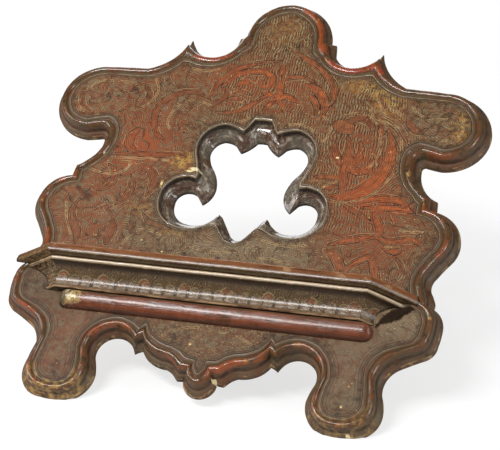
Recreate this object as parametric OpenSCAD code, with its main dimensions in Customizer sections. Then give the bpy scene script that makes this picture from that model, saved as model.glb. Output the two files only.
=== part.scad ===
// Table lectern: a carved, pierced reading panel on two feet, a moulded ledge across its front,
// and a folding frame hinged behind it. Millimetres, +Z up, front facing -Y.
// Panel pieces are drawn flat (x across, y up the slope, z out of the front) and then tilted.

/* [Panel] */
// Width of the panel across its two side arms
panel_width = 468; // [420:2:520]
// Length of the panel up its slope, foot to crest
panel_length = 499; // [460:1:540]
// Thickness of the board from its back to the carved field
panel_thickness = 20; // [18:0.5:24]
// Thickness of the thin outer rim of the moulded edge
rim_thickness = 4; // [3:0.5:5]
// Thickness of the wood around the pierced opening
lip_thickness = 2.5; // [2:0.5:4]
// Slope of the panel above the table, in degrees
panel_slope = 37.4; // [34:0.2:42]
// Height cut off the feet for the flats they stand on
foot_flat = 0.6; // [0.4:0.1:1.2]

/* [Ledge] */
// Distance of the ledge top below the panel centre, down the slope
ledge_drop = 68; // [65:0.5:71]
// Half of the front run of the ledge
ledge_half = 162; // [150:0.5:166]
// How far the ledge stands out of the field
ledge_out = 33; // [31:0.5:36]
// Angle of the canted returns to the front run, in degrees
return_cant = 36.7; // [32:0.1:45]
// Sideways place of the ledge, to the left when negative
ledge_shift = -9.5; // [-11:0.5:0]
// Turn of the hand fitted ledge and roll on the panel, in degrees, right end up
ledge_turn = 0.3; // [0:0.05:0.5]
// Height of the ledge moulding down the slope
ledge_height = 37.5; // [37:0.5:40]
// Thickness of the ledge moulding at its top edge
moulding_thickness = 14; // [12:0.5:16]

/* [Roll] */
// Radius of the half round roll under the ledge
roll_radius = 9; // [8:0.25:10]
// Distance of the rounded ends of the roll inside the corners of the ledge
roll_inset = 13; // [12:0.5:24]
// Space between the ledge moulding and the roll
roll_gap = 0.5; // [0.25:0.25:2.5]

/* [Battens] */
// Width of the hinge batten up the slope
hinge_batten_width = 58; // [56:1:62]
// Thickness of the hinge batten
hinge_batten_thickness = 12; // [10:0.5:14]
// Width of the lower batten up the slope
low_batten_width = 30; // [24:1:36]
// Place of the lower batten down the slope from the panel centre
low_batten_drop = 60; // [55:1:65]
// Diameter of the batten nails
batten_nail_diameter = 4; // [3:0.5:5]

/* [Hinges] */
// Place of the hinge pins up the slope from the panel centre
pin_place = 145; // [143:1:147]
// Distance of each hinge from the centre line
hinge_place = 85; // [70:1:95]
// Length of a hinge along its pin
hinge_length = 40; // [32:1:46]
// Radius of the hinge knuckles
knuckle_radius = 3; // [2.8:0.1:3.4]
// Diameter of the hinge pins
pin_diameter = 2.8; // [2.4:0.1:3]
// Thickness of the iron hinge leaves
leaf_thickness = 1.6; // [1.4:0.1:1.8]
// Height of a hinge leaf
leaf_height = 24; // [20:1:26]
// Diameter of the hinge nails
hinge_nail_diameter = 2.4; // [2:0.2:3]

/* [Folding frame] */
// Angle between the panel and the open frame, in degrees
open_angle = 63; // [61:0.5:66]
// Distance of each leg from the centre line
leg_place = 140; // [136:1:142]
// Width of a leg
leg_width = 20; // [18:1:24]
// Thickness of the legs and the top rail
frame_thickness = 18; // [16:0.5:20]
// Height of the top rail below the pins
rail_height = 30; // [29:1:34]
// Height of the foot rail
foot_rail_height = 20; // [18:1:24]
// Thickness of the foot rail
foot_rail_thickness = 12; // [10:0.5:14]
// Distance of the foot rail below the pins
foot_rail_place = 174; // [168:1:178]
// Diameter of the pegs in the frame joints
peg_diameter = 6; // [5:0.5:7]

/* [Fit] */
// Space between a fixed fastener or tenon and its hole
seat_gap = 0.05; // [0.03:0.01:0.1]
// Running space between a hinge pin and its knuckles
pin_gap = 0.06; // [0.04:0.01:0.1]
// Space between the open frame and the batten it stops against
stop_gap = 0.3; // [0.2:0.05:0.4]
// Space between neighbouring hinge knuckles
knuckle_gap = 0.3; // [0.2:0.05:0.5]

/* [Hidden] */
$fn = 48;
// outline sizes that the panel width and length are counted from
drawn_width = 468;
drawn_length = 499;
across = panel_width / drawn_width;
along = panel_length / drawn_length;
field = panel_thickness;

// Edge of the panel from the crest down the right side to the pendant, one row for each arc:
// outer edge x, y, swell; border of the field x, y, swell; points. A swell is the rise of the
// arc over half its chord, positive when it swells outwards.
edge_arcs = [
  [0, 282.5, 0.414, 0, 261, 0.39, 9],
  [47.5, 234.5, 0, 31, 223, 0, 1],
  [53.5, 234, 0, 31.5, 210, -0.1, 3],
  [55.5, 219, -0.62, 40, 204, -0.38, 10],
  [101, 218, -0.05, 97, 184, 0, 2],
  [106, 227, -0.25, 103, 183, -0.18, 7],
  [141, 183.5, 0.03, 140, 161, 0, 4],
  [182, 180.5, 0.41, 182, 160.5, 0.4, 8],
  [234, 133.5, 0.41, 214, 129.5, 0.41, 8],
  [190, 87.5, 0.03, 189, 104, -0.08, 2],
  [173.5, 90.5, -0.3, 166, 110, -0.3, 3],
  [170.3, 87.5, -0.2, 150, 92, -0.28, 5],
  [181, 57, -0.12, 168, 43.5, -0.1, 2],
  [192.5, 49.5, 0, 174.5, 35.5, 0, 2],
  [193.5, 37.5, 0.36, 175, 22, 0.4, 6],
  [222.5, 2, 0.15, 201.5, -2, 0.14, 3],
  [217, -17, -0.03, 196.5, -16, -0.06, 3],
  [205.5, -35.5, -0.34, 186.5, -34, -0.2, 4],
  [205.5, -57, 0, 183.5, -62, 0, 1],
  [208.5, -64, 0.15, 186.5, -72, 0.1, 2],
  [208, -71, 0.25, 188, -79, 0.25, 3],
  [220, -88, 0.06, 200.5, -92, 0.05, 3],
  [218.5, -109, 0.3, 199.5, -107, 0.28, 4],
  [207, -126, -0.02, 190, -119, -0.04, 3],
  [188, -137, -0.34, 172, -127, -0.3, 6],
  [175.5, -168, 0.09, 156.5, -157, 0.03, 3],
  [179.5, -186, 0.39, 160, -184, 0.32, 6],
  [156, -214.5, 0.14, 150, -201, 0.16, 4],
  [128, -214.5, 0.355, 131, -201, 0.28, 6],
  [105.5, -183, 0.06, 124.5, -186, 0.05, 3],
  [110.3, -166, -0.5, 127.5, -164, -0.4, 8],
  [91.5, -141, -0.213, 92, -125.5, -0.12, 4],
  [77, -147.5, -0.08, 74, -130.5, -0.05, 2],
  [72, -156, -0.1, 68, -134, -0.1, 2],
  [64.5, -151.8, 0.13, 62.5, -127.5, 0.2, 4],
  [54.5, -162.8, 0.14, 50, -143.5, 0.12, 4],
  [36, -168.2, -0.14, 31, -150, 0, 3],
  [26, -175.7, 0.1, 22, -154, 0, 1],
  [23, -178.7, 0, 15, -159.5, 0, 2],
  [16.5, -178, 0.414, 4.5, -161.5, 0.25, 6]
];
edge_end = [0, -194.5, 0, -175];

// Opening from its top middle down the right side, one row for each arc: edge of the opening
// x, y, swell; border of the field x, y, swell; points. Here a swell is positive when the
// opening grows outwards.
hole_arcs = [
  [0, 102, 0, 0, 124, 0, 1],
  [5, 101.5, -0.13, 10, 123.5, 0, 4],
  [20, 87.5, -0.05, 17.5, 107.5, 0.05, 2],
  [26.5, 95.5, 0.18, 27, 110.5, 0.12, 3],
  [40, 99.5, 0.36, 41, 112.5, 0.3, 5],
  [52, 80.5, 0.12, 65, 86, 0.12, 4],
  [43.5, 63, -0.13, 62, 65, 0.03, 4],
  [36, 42, -0.25, 57.5, 50, 0, 4],
  [46, 20.5, 0, 57, 46, 0, 2],
  [53, 30, 0.2, 64, 45.5, 0.08, 3],
  [63, 33, 0.42, 77, 40.5, 0.25, 6],
  [75, 18, 0.4, 89.5, 15, 0.4, 7],
  [56, -4.5, 0.18, 59, -21, 0.12, 3],
  [36.5, -1.3, 0.05, 37, -19, 0, 2],
  [29, 5.5, -0.1, 30, -15.5, 0, 2],
  [25, 10.8, 0.1, 25, -13, 0, 2],
  [21.5, 8, 0, 20, -15, 0.05, 4],
  [8, -13.5, 0.2, 9, -30, 0.15, 3]
];
hole_end = [0, -17.7, 0, -33];

// Moulded edge from the field border (0) to the outer edge (1), and its share of the depth
edge_profile = [[0, 1], [0.22, 1], [0.27, 0.9], [0.37, 0.99], [0.5, 0.98], [0.61, 0.8],
  [0.69, 0.36], [0.82, 0.1], [1, 0]];
// Scooped opening from the field border (0) to its thin edge (1), and its share of the depth
hole_profile = [[0, 1], [0.1, 1], [0.16, 0.91], [0.3, 0.6], [0.5, 0.3], [0.75, 0.1], [1, 0]];

// Ledge moulding seen from its end: drops below its top and distances back from its front
bead_radius = 5.5;
bead_sweep = 150;
band_drop = 10.4;
band_back = 6.5;
groove_back = 10.6;
fillet_drop = 11.2;
fillet_low = 15;
fillet_back = 8.3;
lip_drop = 36;
lip_low = 36.8;
lip_back = 23;
cove_back = 24;

// hinge, frame and fastener values that follow from the sizes above
roll_half = ledge_half - roll_inset;
nail_room = 6;
leaf_room = 3;
pin_back = hinge_batten_thickness + knuckle_radius + stop_gap;
frame_front = knuckle_radius + 0.5;
frame_back = frame_front + frame_thickness;
stop_reach = pin_back - hinge_batten_thickness - stop_gap;
low_batten_thickness = pin_back + frame_front - stop_gap;
hinge_batten_low = pin_place - knuckle_radius - leaf_height - leaf_room;
batten_nail_place = leg_place + leg_width / 2 + nail_room;
hinge_batten_half = batten_nail_place + nail_room;
low_batten_half = batten_nail_place + 1.5 * nail_room;
tenon_thickness = 6;
tenon_length = 20;
tenon_width = 0.7 * leg_width;
foot_tenon = 0.6 * leg_width;
nail_head_radius = 4.5;
nail_head_height = 1.6;
hinge_nail_head = 2.3;
hinge_nail_rise = 1;
hinge_nail_length = 9;
nail_end = 0.3;
nail_inset = 10;
nail_head_taper = 0.6;
batten_chamfer = 2;
middle_knuckle = 14;
outer_knuckle = (hinge_length - middle_knuckle) / 2 - knuckle_gap;
pin_end = 1;
seam = 0.3;
least_turn = 0.01;
far = 900;

function swell_point(p, q, s, t) =
  let (d = q - p, chord = norm(d), side = [-d[1], d[0]] / chord)
  abs(s) < 0.001 ? p + d * t :
  let (rise = s * chord / 2,
       radius = (chord * chord / 4 + rise * rise) / (2 * abs(rise)),
       centre = p + d / 2 + side * (rise - radius * sign(s)),
       start = atan2(p[1] - centre[1], p[0] - centre[0]),
       turn = start - 4 * atan(s) * t)
  centre + radius * [cos(turn), sin(turn)];

// half outline through one pair of columns of the arc rows, scaled to the panel sizes
function half_line(arcs, end, col, end_col) = [
  for (i = [0:len(arcs) - 1])
    let (a = arcs[i],
         b = i + 1 < len(arcs) ? [arcs[i + 1][col], arcs[i + 1][col + 1]]
                               : [end[end_col], end[end_col + 1]])
    for (k = [0:a[6] - 1])
      let (p = swell_point([a[col], a[col + 1]], b, a[col + 2], k / a[6]))
      [p[0] * across, p[1] * along],
  [end[end_col] * across, end[end_col + 1] * along]
];

function both_sides(half) = concat(half,
  [for (i = [len(half) - 2:-1:1]) [-half[i][0], half[i][1]]]);

edge_outer = both_sides(half_line(edge_arcs, edge_end, 0, 0));
edge_inner = both_sides(half_line(edge_arcs, edge_end, 3, 2));
hole_outer = both_sides(half_line(hole_arcs, hole_end, 3, 2));
hole_inner = both_sides(half_line(hole_arcs, hole_end, 0, 0));

// height of the panel centre when the feet have lost their flats, and where the legs end
foot_y = -min([for (p = edge_outer) p[1]]);
lift = foot_y * sin(panel_slope) - rim_thickness * cos(panel_slope) - foot_flat;
pin_height = lift + pin_place * sin(panel_slope) - pin_back * cos(panel_slope);
leg_lean = panel_slope + open_angle - 90;
leg_reach = pin_height / cos(leg_lean) + frame_back * tan(leg_lean) + 1;

// feet stand on the table, so nothing of the panel reaches below it
function on_table(y, z) = max(y, -(lift + z * cos(panel_slope)) / sin(panel_slope));

function ring(inner, outer, share, z) = [
  for (i = [0:len(inner) - 1])
    let (p = inner[i] * (1 - share) + outer[i] * share)
    [p[0], on_table(p[1], z), z]
];

edge_count = len(edge_outer);
hole_count = len(hole_outer);
edge_rings = len(edge_profile) + 1;
hole_rings = len(hole_profile) + 1;

edge_points = [for (r = edge_profile)
  each ring(edge_inner, edge_outer, r[0], rim_thickness + (field - rim_thickness) * r[1])];
hole_points = [for (r = hole_profile)
  each ring(hole_outer, hole_inner, r[0], lip_thickness + (field - lip_thickness) * r[1])];
panel_points = concat(edge_points, ring(edge_outer, edge_outer, 0, 0),
                      hole_points, ring(hole_inner, hole_inner, 0, 0));
hole_start = edge_count * edge_rings;

function strip(first, rings, count, flip) = [
  for (r = [0:rings - 2], i = [0:count - 1])
    let (a = first + r * count + i, b = first + r * count + (i + 1) % count,
         c = b + count, d = a + count)
    each flip ? [[a, d, c], [a, c, b]] : [[a, b, c], [a, c, d]]
];

// the flat faces are split at the centre line, where both outlines meet it
function half_face(edge_first, hole_first, right) =
  let (edge_half = edge_count / 2, hole_half = hole_count / 2)
  right ?
    concat([for (i = [0:edge_half]) edge_first + i],
           [for (i = [hole_half:-1:0]) hole_first + i]) :
    concat([for (i = [edge_half:edge_count]) edge_first + i % edge_count],
           [for (i = [hole_count:-1:hole_half]) hole_first + i % hole_count]);

function turned(face) = [for (i = [len(face) - 1:-1:0]) face[i]];

// Cuts a flat face with inlets into triangles, one free corner after another. The face runs
// clockwise, so a corner is free when it turns right and no other point lies in its triangle.
function turn_at(a, b, c) = (b[0] - a[0]) * (c[1] - a[1]) - (b[1] - a[1]) * (c[0] - a[0]);

function holds(a, b, c, p) =
  turn_at(a, b, p) <= 0 && turn_at(b, c, p) <= 0 && turn_at(c, a, p) <= 0;

function is_free(face, i) =
  let (n = len(face), before = (i + n - 1) % n, after = (i + 1) % n,
       a = panel_points[face[before]], b = panel_points[face[i]], c = panel_points[face[after]])
  turn_at(a, b, c) < -least_turn &&
  len([for (k = [0:n - 1])
    if (k != before && k != i && k != after && holds(a, b, c, panel_points[face[k]])) k]) == 0;

function free_corner(face, i) =
  is_free(face, i) ? i : free_corner(face, (i + 1) % len(face));

function triangles(face, from = 0, done = []) =
  len(face) == 3 ? concat(done, [face]) :
  let (n = len(face), i = free_corner(face, from % n))
  triangles([for (k = [0:n - 1]) if (k != i) face[k]], i,
    concat(done, [[face[(i + n - 1) % n], face[i], face[(i + 1) % n]]]));

back_edge = edge_count * (edge_rings - 1);
back_hole = hole_start + hole_count * (hole_rings - 1);

function panel_faces() = concat(
  strip(0, edge_rings, edge_count, true),
  strip(hole_start, hole_rings, hole_count, false),
  [for (right = [true, false])
    each concat(triangles(half_face(0, hole_start, right)),
      [for (t = triangles(half_face(back_edge, back_hole, right))) turned(t)])]);

// place of the whole object, so that the middle of its box stands on the origin
function tilted_y(p) = p[1] * cos(panel_slope) - p[2] * sin(panel_slope);
front_reach = min([for (p = panel_points) tilted_y(p)]);
back_reach = max([for (p = panel_points) tilted_y(p)]);
shift_y = -(front_reach + back_reach) / 2;

function arc_points(middle, radius, from, to, steps) = [
  for (i = [0:steps])
    let (a = from + (to - from) * i / steps)
    middle + radius * [cos(a), sin(a)]
];

// cove that runs into the lip along the panel
cove_run = lip_drop - fillet_low;
cove_rise = cove_back - groove_back;
cove_radius = (cove_run * cove_run + cove_rise * cove_rise) / (2 * cove_rise);
fillet_radius = (fillet_low - fillet_drop) / 2;
moulding_section = concat(
  [[0, -moulding_thickness]],
  arc_points([-bead_radius, -bead_radius], bead_radius, 0, bead_sweep, 8),
  [[-band_drop, -band_back], [-band_drop, -groove_back], [-fillet_drop, -groove_back]],
  arc_points([-fillet_drop - fillet_radius, -fillet_back - fillet_radius], fillet_radius,
             0, 180, 6),
  arc_points([-lip_drop, cove_radius - cove_back], cove_radius,
             -acos(cove_run / cove_radius), -90, 9),
  [[-lip_drop, -lip_back], [-lip_low, -lip_back], [-ledge_height, -cove_back],
   [-ledge_height, -ledge_out]]);
core_section = [[0, -moulding_thickness], [-ledge_height, -ledge_out],
  [-ledge_height, -far], [0, -far]];

// Places its children on the sloping panel.
module tilted() {
  translate([0, shift_y, lift])
    rotate([panel_slope, 0, 0])
      children();
}

// Places its children on the open frame, with the pins at their origin.
module opened() {
  tilted()
    translate([0, pin_place, -pin_back])
      rotate([open_angle, 0, 0])
        children();
}

module along_x(length) {
  rotate([90, 0, 90])
    linear_extrude(height = length, center = true)
      children();
}

module below(z) {
  translate([-far, -far, z - 2 * far])
    cube(2 * far);
}

// Carved panel: moulded edge, flat field and scooped opening in one board.
module panel() {
  color([0.36, 0.2, 0.13])
    tilted()
      polyhedron(points = panel_points, faces = panel_faces(), convexity = 12);
}

// Places its children at the top of the ledge, front corner on the right at their origin.
module at_corner() {
  translate([ledge_half, -ledge_drop, field + ledge_out])
    children();
}

module past_mitre() {
  at_corner()
    rotate([0, return_cant / 2, 0])
      translate([0, -far, -far])
        cube(2 * far);
}

module front_run(section) {
  translate([0, -ledge_drop, field + ledge_out])
    along_x(far)
      polygon(section);
}

module return_run(section) {
  at_corner()
    rotate([0, return_cant, 0])
      along_x(far)
        polygon(section);
}

// Places its children on the panel with the small turn of the ledge, the middle of its top at x.
module on_ledge(x = ledge_shift) {
  tilted()
    translate([x, -ledge_drop, 0])
      rotate([0, 0, ledge_turn])
        translate([0, ledge_drop, 0])
          children();
}

module return_piece() {
  difference() {
    intersection() {
      return_run(moulding_section);
      past_mitre();
    }
    below(field);
  }
}

module ledge_core() {
  color([0.3, 0.17, 0.11])
    on_ledge()
      difference() {
        intersection() {
          front_run(core_section);
          return_run(core_section);
          mirror([1, 0, 0])
            return_run(core_section);
        }
        below(field);
      }
}

module ledge_front() {
  color([0.4, 0.24, 0.16])
    on_ledge()
      difference() {
        front_run(moulding_section);
        past_mitre();
        mirror([1, 0, 0])
          past_mitre();
      }
}

module ledge_right_return() {
  color([0.38, 0.22, 0.15])
    on_ledge()
      return_piece();
}

module ledge_left_return() {
  color([0.38, 0.22, 0.15])
    on_ledge()
      mirror([1, 0, 0])
        return_piece();
}

// Half round roll below the ledge, with rounded ends.
module ledge_roll() {
  color([0.42, 0.2, 0.13])
    on_ledge(0)
      translate([0, -(ledge_drop + ledge_height + roll_gap + roll_radius), field])
        difference() {
          union() {
            rotate([0, 90, 0])
              cylinder(h = 2 * roll_half, r = roll_radius, center = true);
            for (side = [-1, 1])
              translate([side * roll_half, 0, 0])
                sphere(r = roll_radius);
          }
          below(0);
        }
}

// Board across the back with its two back edges chamfered.
module batten(half, low, width, thickness) {
  translate([0, low, 0])
    along_x(2 * half)
      polygon([[0, 0], [0, batten_chamfer - thickness], [batten_chamfer, -thickness],
        [width - batten_chamfer, -thickness], [width, batten_chamfer - thickness],
        [width, 0]]);
}

// Nail with a low hammered head, head outwards at zero, shank going forward.
module nail(head, rise, radius, length) {
  translate([0, 0, -rise])
    cylinder(h = rise, r1 = head * nail_head_taper, r2 = head);
  cylinder(h = length, r = radius);
}

module batten_nail_hole(thickness) {
  translate([0, 0, -thickness - 1])
    cylinder(h = thickness + 2, d = batten_nail_diameter + 2 * seat_gap);
}

hinge_batten_nail_places = [
  for (side = [-1, 1])
    each [[side * batten_nail_place, hinge_batten_low + nail_inset],
      [side * batten_nail_place, hinge_batten_low + hinge_batten_width - nail_inset],
      [side * hinge_place * 0.45, hinge_batten_low + nail_inset]]
];
low_batten_nail_places = [
  for (side = [-1, 1])
    each [[side * batten_nail_place, -low_batten_drop],
      [side * batten_nail_place * 0.3, -low_batten_drop]]
];
leaf_nail_places = [[-hinge_length * 0.33, -leaf_height * 0.4], [0, -leaf_height * 0.8],
  [hinge_length * 0.33, -leaf_height * 0.4]];

// Repeats its children at both hinges, on every nail place of a leaf.
module at_leaf_nails() {
  for (side = [-1, 1], p = leaf_nail_places)
    translate([side * hinge_place + p[0], p[1] - knuckle_radius, 0])
      children();
}

module hinge_batten() {
  color([0.45, 0.32, 0.2])
    tilted()
      difference() {
        batten(hinge_batten_half, hinge_batten_low, hinge_batten_width,
          hinge_batten_thickness);
        for (p = hinge_batten_nail_places)
          translate([p[0], p[1], 0])
            batten_nail_hole(hinge_batten_thickness);
        translate([0, pin_place, -hinge_batten_thickness])
          at_leaf_nails()
            translate([0, 0, -1])
              cylinder(h = hinge_nail_length - leaf_thickness + 1 + nail_end,
                d = hinge_nail_diameter + 2 * seat_gap);
      }
}

module low_batten() {
  color([0.45, 0.32, 0.2])
    tilted()
      difference() {
        batten(low_batten_half, -low_batten_drop - low_batten_width / 2,
          low_batten_width, low_batten_thickness);
        for (p = low_batten_nail_places)
          translate([p[0], p[1], 0])
            batten_nail_hole(low_batten_thickness);
      }
}

module hinge_batten_nails() {
  color([0.24, 0.22, 0.21])
    tilted()
      for (p = hinge_batten_nail_places)
        translate([p[0], p[1], -hinge_batten_thickness])
          nail(nail_head_radius, nail_head_height, batten_nail_diameter / 2,
            hinge_batten_thickness);
}

module low_batten_nails() {
  color([0.24, 0.22, 0.21])
    tilted()
      for (p = low_batten_nail_places)
        translate([p[0], p[1], -low_batten_thickness])
          nail(nail_head_radius, nail_head_height, batten_nail_diameter / 2,
            low_batten_thickness);
}

// One hinge leaf below the pin, its flat back at face and its knuckles at the given places.
module leaf(face, knuckles) {
  difference() {
    union() {
      translate([-hinge_length / 2, -knuckle_radius - leaf_height, face])
        cube([hinge_length, leaf_height - seam, leaf_thickness]);
      for (k = knuckles) {
        translate([k[0], 0, 0])
          rotate([0, 90, 0])
            cylinder(h = k[1], r = knuckle_radius);
        translate([k[0], -knuckle_radius - 1, face])
          cube([k[1], knuckle_radius + 1, leaf_thickness]);
      }
    }
    rotate([0, 90, 0])
      cylinder(h = 2 * hinge_length, d = pin_diameter + 2 * pin_gap, center = true);
    for (p = leaf_nail_places)
      translate([p[0], p[1] - knuckle_radius, face - 1])
        cylinder(h = leaf_thickness + 2, d = hinge_nail_diameter + 2 * seat_gap);
  }
}

module fixed_leaf(side) {
  color([0.2, 0.19, 0.19])
    tilted()
      translate([side * hinge_place, pin_place, -pin_back])
        leaf(knuckle_radius + stop_gap - leaf_thickness,
          [[-hinge_length / 2, outer_knuckle], [middle_knuckle / 2 + knuckle_gap, outer_knuckle]]);
}

module moving_leaf(side) {
  color([0.23, 0.22, 0.21])
    opened()
      translate([side * hinge_place, 0, 0])
        leaf(-frame_front, [[-middle_knuckle / 2, middle_knuckle]]);
}

module hinge_pin(side) {
  color([0.3, 0.29, 0.28])
    tilted()
      translate([side * hinge_place, pin_place, -pin_back])
        rotate([0, 90, 0])
          cylinder(h = hinge_length + 2 * pin_end, d = pin_diameter, center = true);
}

module left_fixed_leaf() {
  fixed_leaf(-1);
}

module right_fixed_leaf() {
  fixed_leaf(1);
}

module left_hinge_pin() {
  hinge_pin(-1);
}

module right_hinge_pin() {
  hinge_pin(1);
}

module left_moving_leaf() {
  moving_leaf(-1);
}

module right_moving_leaf() {
  moving_leaf(1);
}

module fixed_leaf_nails() {
  color([0.26, 0.25, 0.24])
    tilted()
      translate([0, pin_place, -hinge_batten_thickness - leaf_thickness])
        at_leaf_nails()
          nail(hinge_nail_head, hinge_nail_rise, hinge_nail_diameter / 2, hinge_nail_length);
}

module moving_leaf_nails() {
  color([0.26, 0.25, 0.24])
    opened()
      translate([0, 0, leaf_thickness - frame_front])
        at_leaf_nails()
          mirror([0, 0, 1])
            nail(hinge_nail_head, hinge_nail_rise, hinge_nail_diameter / 2, hinge_nail_length);
}

// Repeats its children at the four pegged joints of the frame.
module at_pegs() {
  for (side = [-1, 1]) {
    translate([side * leg_place, -rail_height + tenon_length / 2, -frame_back])
      children();
    translate([side * (leg_place - leg_width / 2 + foot_tenon / 2),
      -foot_rail_place - foot_rail_height / 2, -frame_back])
      children();
  }
}

module peg_holes() {
  at_pegs()
    translate([0, 0, -1])
      cylinder(h = frame_thickness + 2, d = peg_diameter + 2 * seat_gap);
}

// Tongue of a leg in the top rail, grown by room where it is the socket.
module leg_tenon(side, room) {
  translate([side * leg_place - tenon_width / 2 - room, -rail_height - 1,
    -(frame_front + frame_back) / 2 - tenon_thickness / 2 - room])
    cube([tenon_width + 2 * room, tenon_length + 1 + room, tenon_thickness + 2 * room]);
}

// Tongues of the foot rail in both legs, grown by room where they are the sockets.
module foot_tenons(room) {
  translate([-leg_place + leg_width / 2 - foot_tenon - room,
    -foot_rail_place - foot_rail_height / 2 - tenon_width / 2 - room,
    -(frame_front + frame_back) / 2 - tenon_thickness / 2 - room])
    cube([2 * (leg_place - leg_width / 2 + foot_tenon + room), tenon_width + 2 * room,
      tenon_thickness + 2 * room]);
}

// Rail with a slanted top edge, which stops the open frame against the hinge batten.
module top_rail() {
  color([0.42, 0.3, 0.19])
    opened()
      difference() {
        along_x(2 * leg_place + leg_width)
          polygon([
            [(stop_reach + frame_front * cos(open_angle)) / sin(open_angle), -frame_front],
            [(stop_reach + frame_back * cos(open_angle)) / sin(open_angle), -frame_back],
            [-rail_height, -frame_back],
            [-rail_height, -frame_front]]);
        for (side = [-1, 1])
          leg_tenon(side, seat_gap);
        peg_holes();
        translate([0, 0, -frame_front - hinge_nail_length + leaf_thickness - nail_end])
          at_leaf_nails()
            cylinder(h = hinge_nail_length + 1, d = hinge_nail_diameter + 2 * seat_gap);
      }
}

module leg(side) {
  color([0.44, 0.31, 0.2])
    difference() {
      opened()
        difference() {
          union() {
            translate([side * leg_place - leg_width / 2, -leg_reach, -frame_back])
              cube([leg_width, leg_reach - rail_height, frame_thickness]);
            leg_tenon(side, 0);
          }
          foot_tenons(seat_gap);
          peg_holes();
        }
      below(0);
    }
}

module left_leg() {
  leg(-1);
}

module right_leg() {
  leg(1);
}

module foot_rail() {
  color([0.43, 0.3, 0.19])
    opened()
      difference() {
        union() {
          translate([-leg_place + leg_width / 2, -foot_rail_place - foot_rail_height,
            -(frame_front + frame_back) / 2 - foot_rail_thickness / 2])
            cube([2 * leg_place - leg_width, foot_rail_height, foot_rail_thickness]);
          foot_tenons(0);
        }
        peg_holes();
      }
}

module frame_pegs() {
  color([0.5, 0.38, 0.25])
    opened()
      at_pegs()
        cylinder(h = frame_thickness, d = peg_diameter);
}

panel();
ledge_core();
ledge_front();
ledge_left_return();
ledge_right_return();
ledge_roll();
hinge_batten();
low_batten();
hinge_batten_nails();
low_batten_nails();
left_fixed_leaf();
right_fixed_leaf();
left_hinge_pin();
right_hinge_pin();
fixed_leaf_nails();
left_moving_leaf();
right_moving_leaf();
moving_leaf_nails();
top_rail();
left_leg();
right_leg();
foot_rail();
frame_pegs();
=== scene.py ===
"""Looks of the table lectern: a lacquered, carved reading panel, its ledge and its folding frame.

Panel pieces are worked out flat, in millimetres: x across, y up the slope, z out of the front.
Slope.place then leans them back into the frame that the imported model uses, in metres.
"""

import logging
import math
from dataclasses import dataclass, field
from enum import Enum
from functools import cached_property
from typing import Any, Callable, Dict, List, Optional, Sequence, Tuple, Union

import bpy
import numpy as np
from mathutils import Matrix, Vector
from mathutils.geometry import delaunay_2d_cdt

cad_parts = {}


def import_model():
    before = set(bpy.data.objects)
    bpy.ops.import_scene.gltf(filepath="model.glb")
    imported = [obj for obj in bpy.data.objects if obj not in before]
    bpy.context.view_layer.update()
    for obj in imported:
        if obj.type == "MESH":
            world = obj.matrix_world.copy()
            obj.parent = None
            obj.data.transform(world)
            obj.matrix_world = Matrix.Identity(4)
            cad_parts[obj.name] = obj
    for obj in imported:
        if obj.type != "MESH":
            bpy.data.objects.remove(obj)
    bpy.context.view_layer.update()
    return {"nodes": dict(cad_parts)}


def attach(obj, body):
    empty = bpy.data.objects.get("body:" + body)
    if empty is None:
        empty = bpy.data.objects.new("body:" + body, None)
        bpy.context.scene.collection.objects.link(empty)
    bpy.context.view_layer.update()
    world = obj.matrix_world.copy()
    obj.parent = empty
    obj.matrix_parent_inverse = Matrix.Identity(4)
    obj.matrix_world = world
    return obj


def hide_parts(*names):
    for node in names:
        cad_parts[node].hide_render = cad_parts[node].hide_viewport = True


log = logging.getLogger("lectern")
Array = np.ndarray
Colour = Tuple[float, float, float]


def srgb(red: int, green: int, blue: int) -> Colour:
    """Linear colour of a paint named by its 0 to 255 display values."""
    shares = np.array([red, green, blue]) / 255
    linear = np.where(shares <= 0.04045, shares / 12.92, ((shares + 0.055) / 1.055) ** 2.4)
    return tuple(float(v) for v in linear)


# ---------------------------------------------------------------- shader expressions


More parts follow.
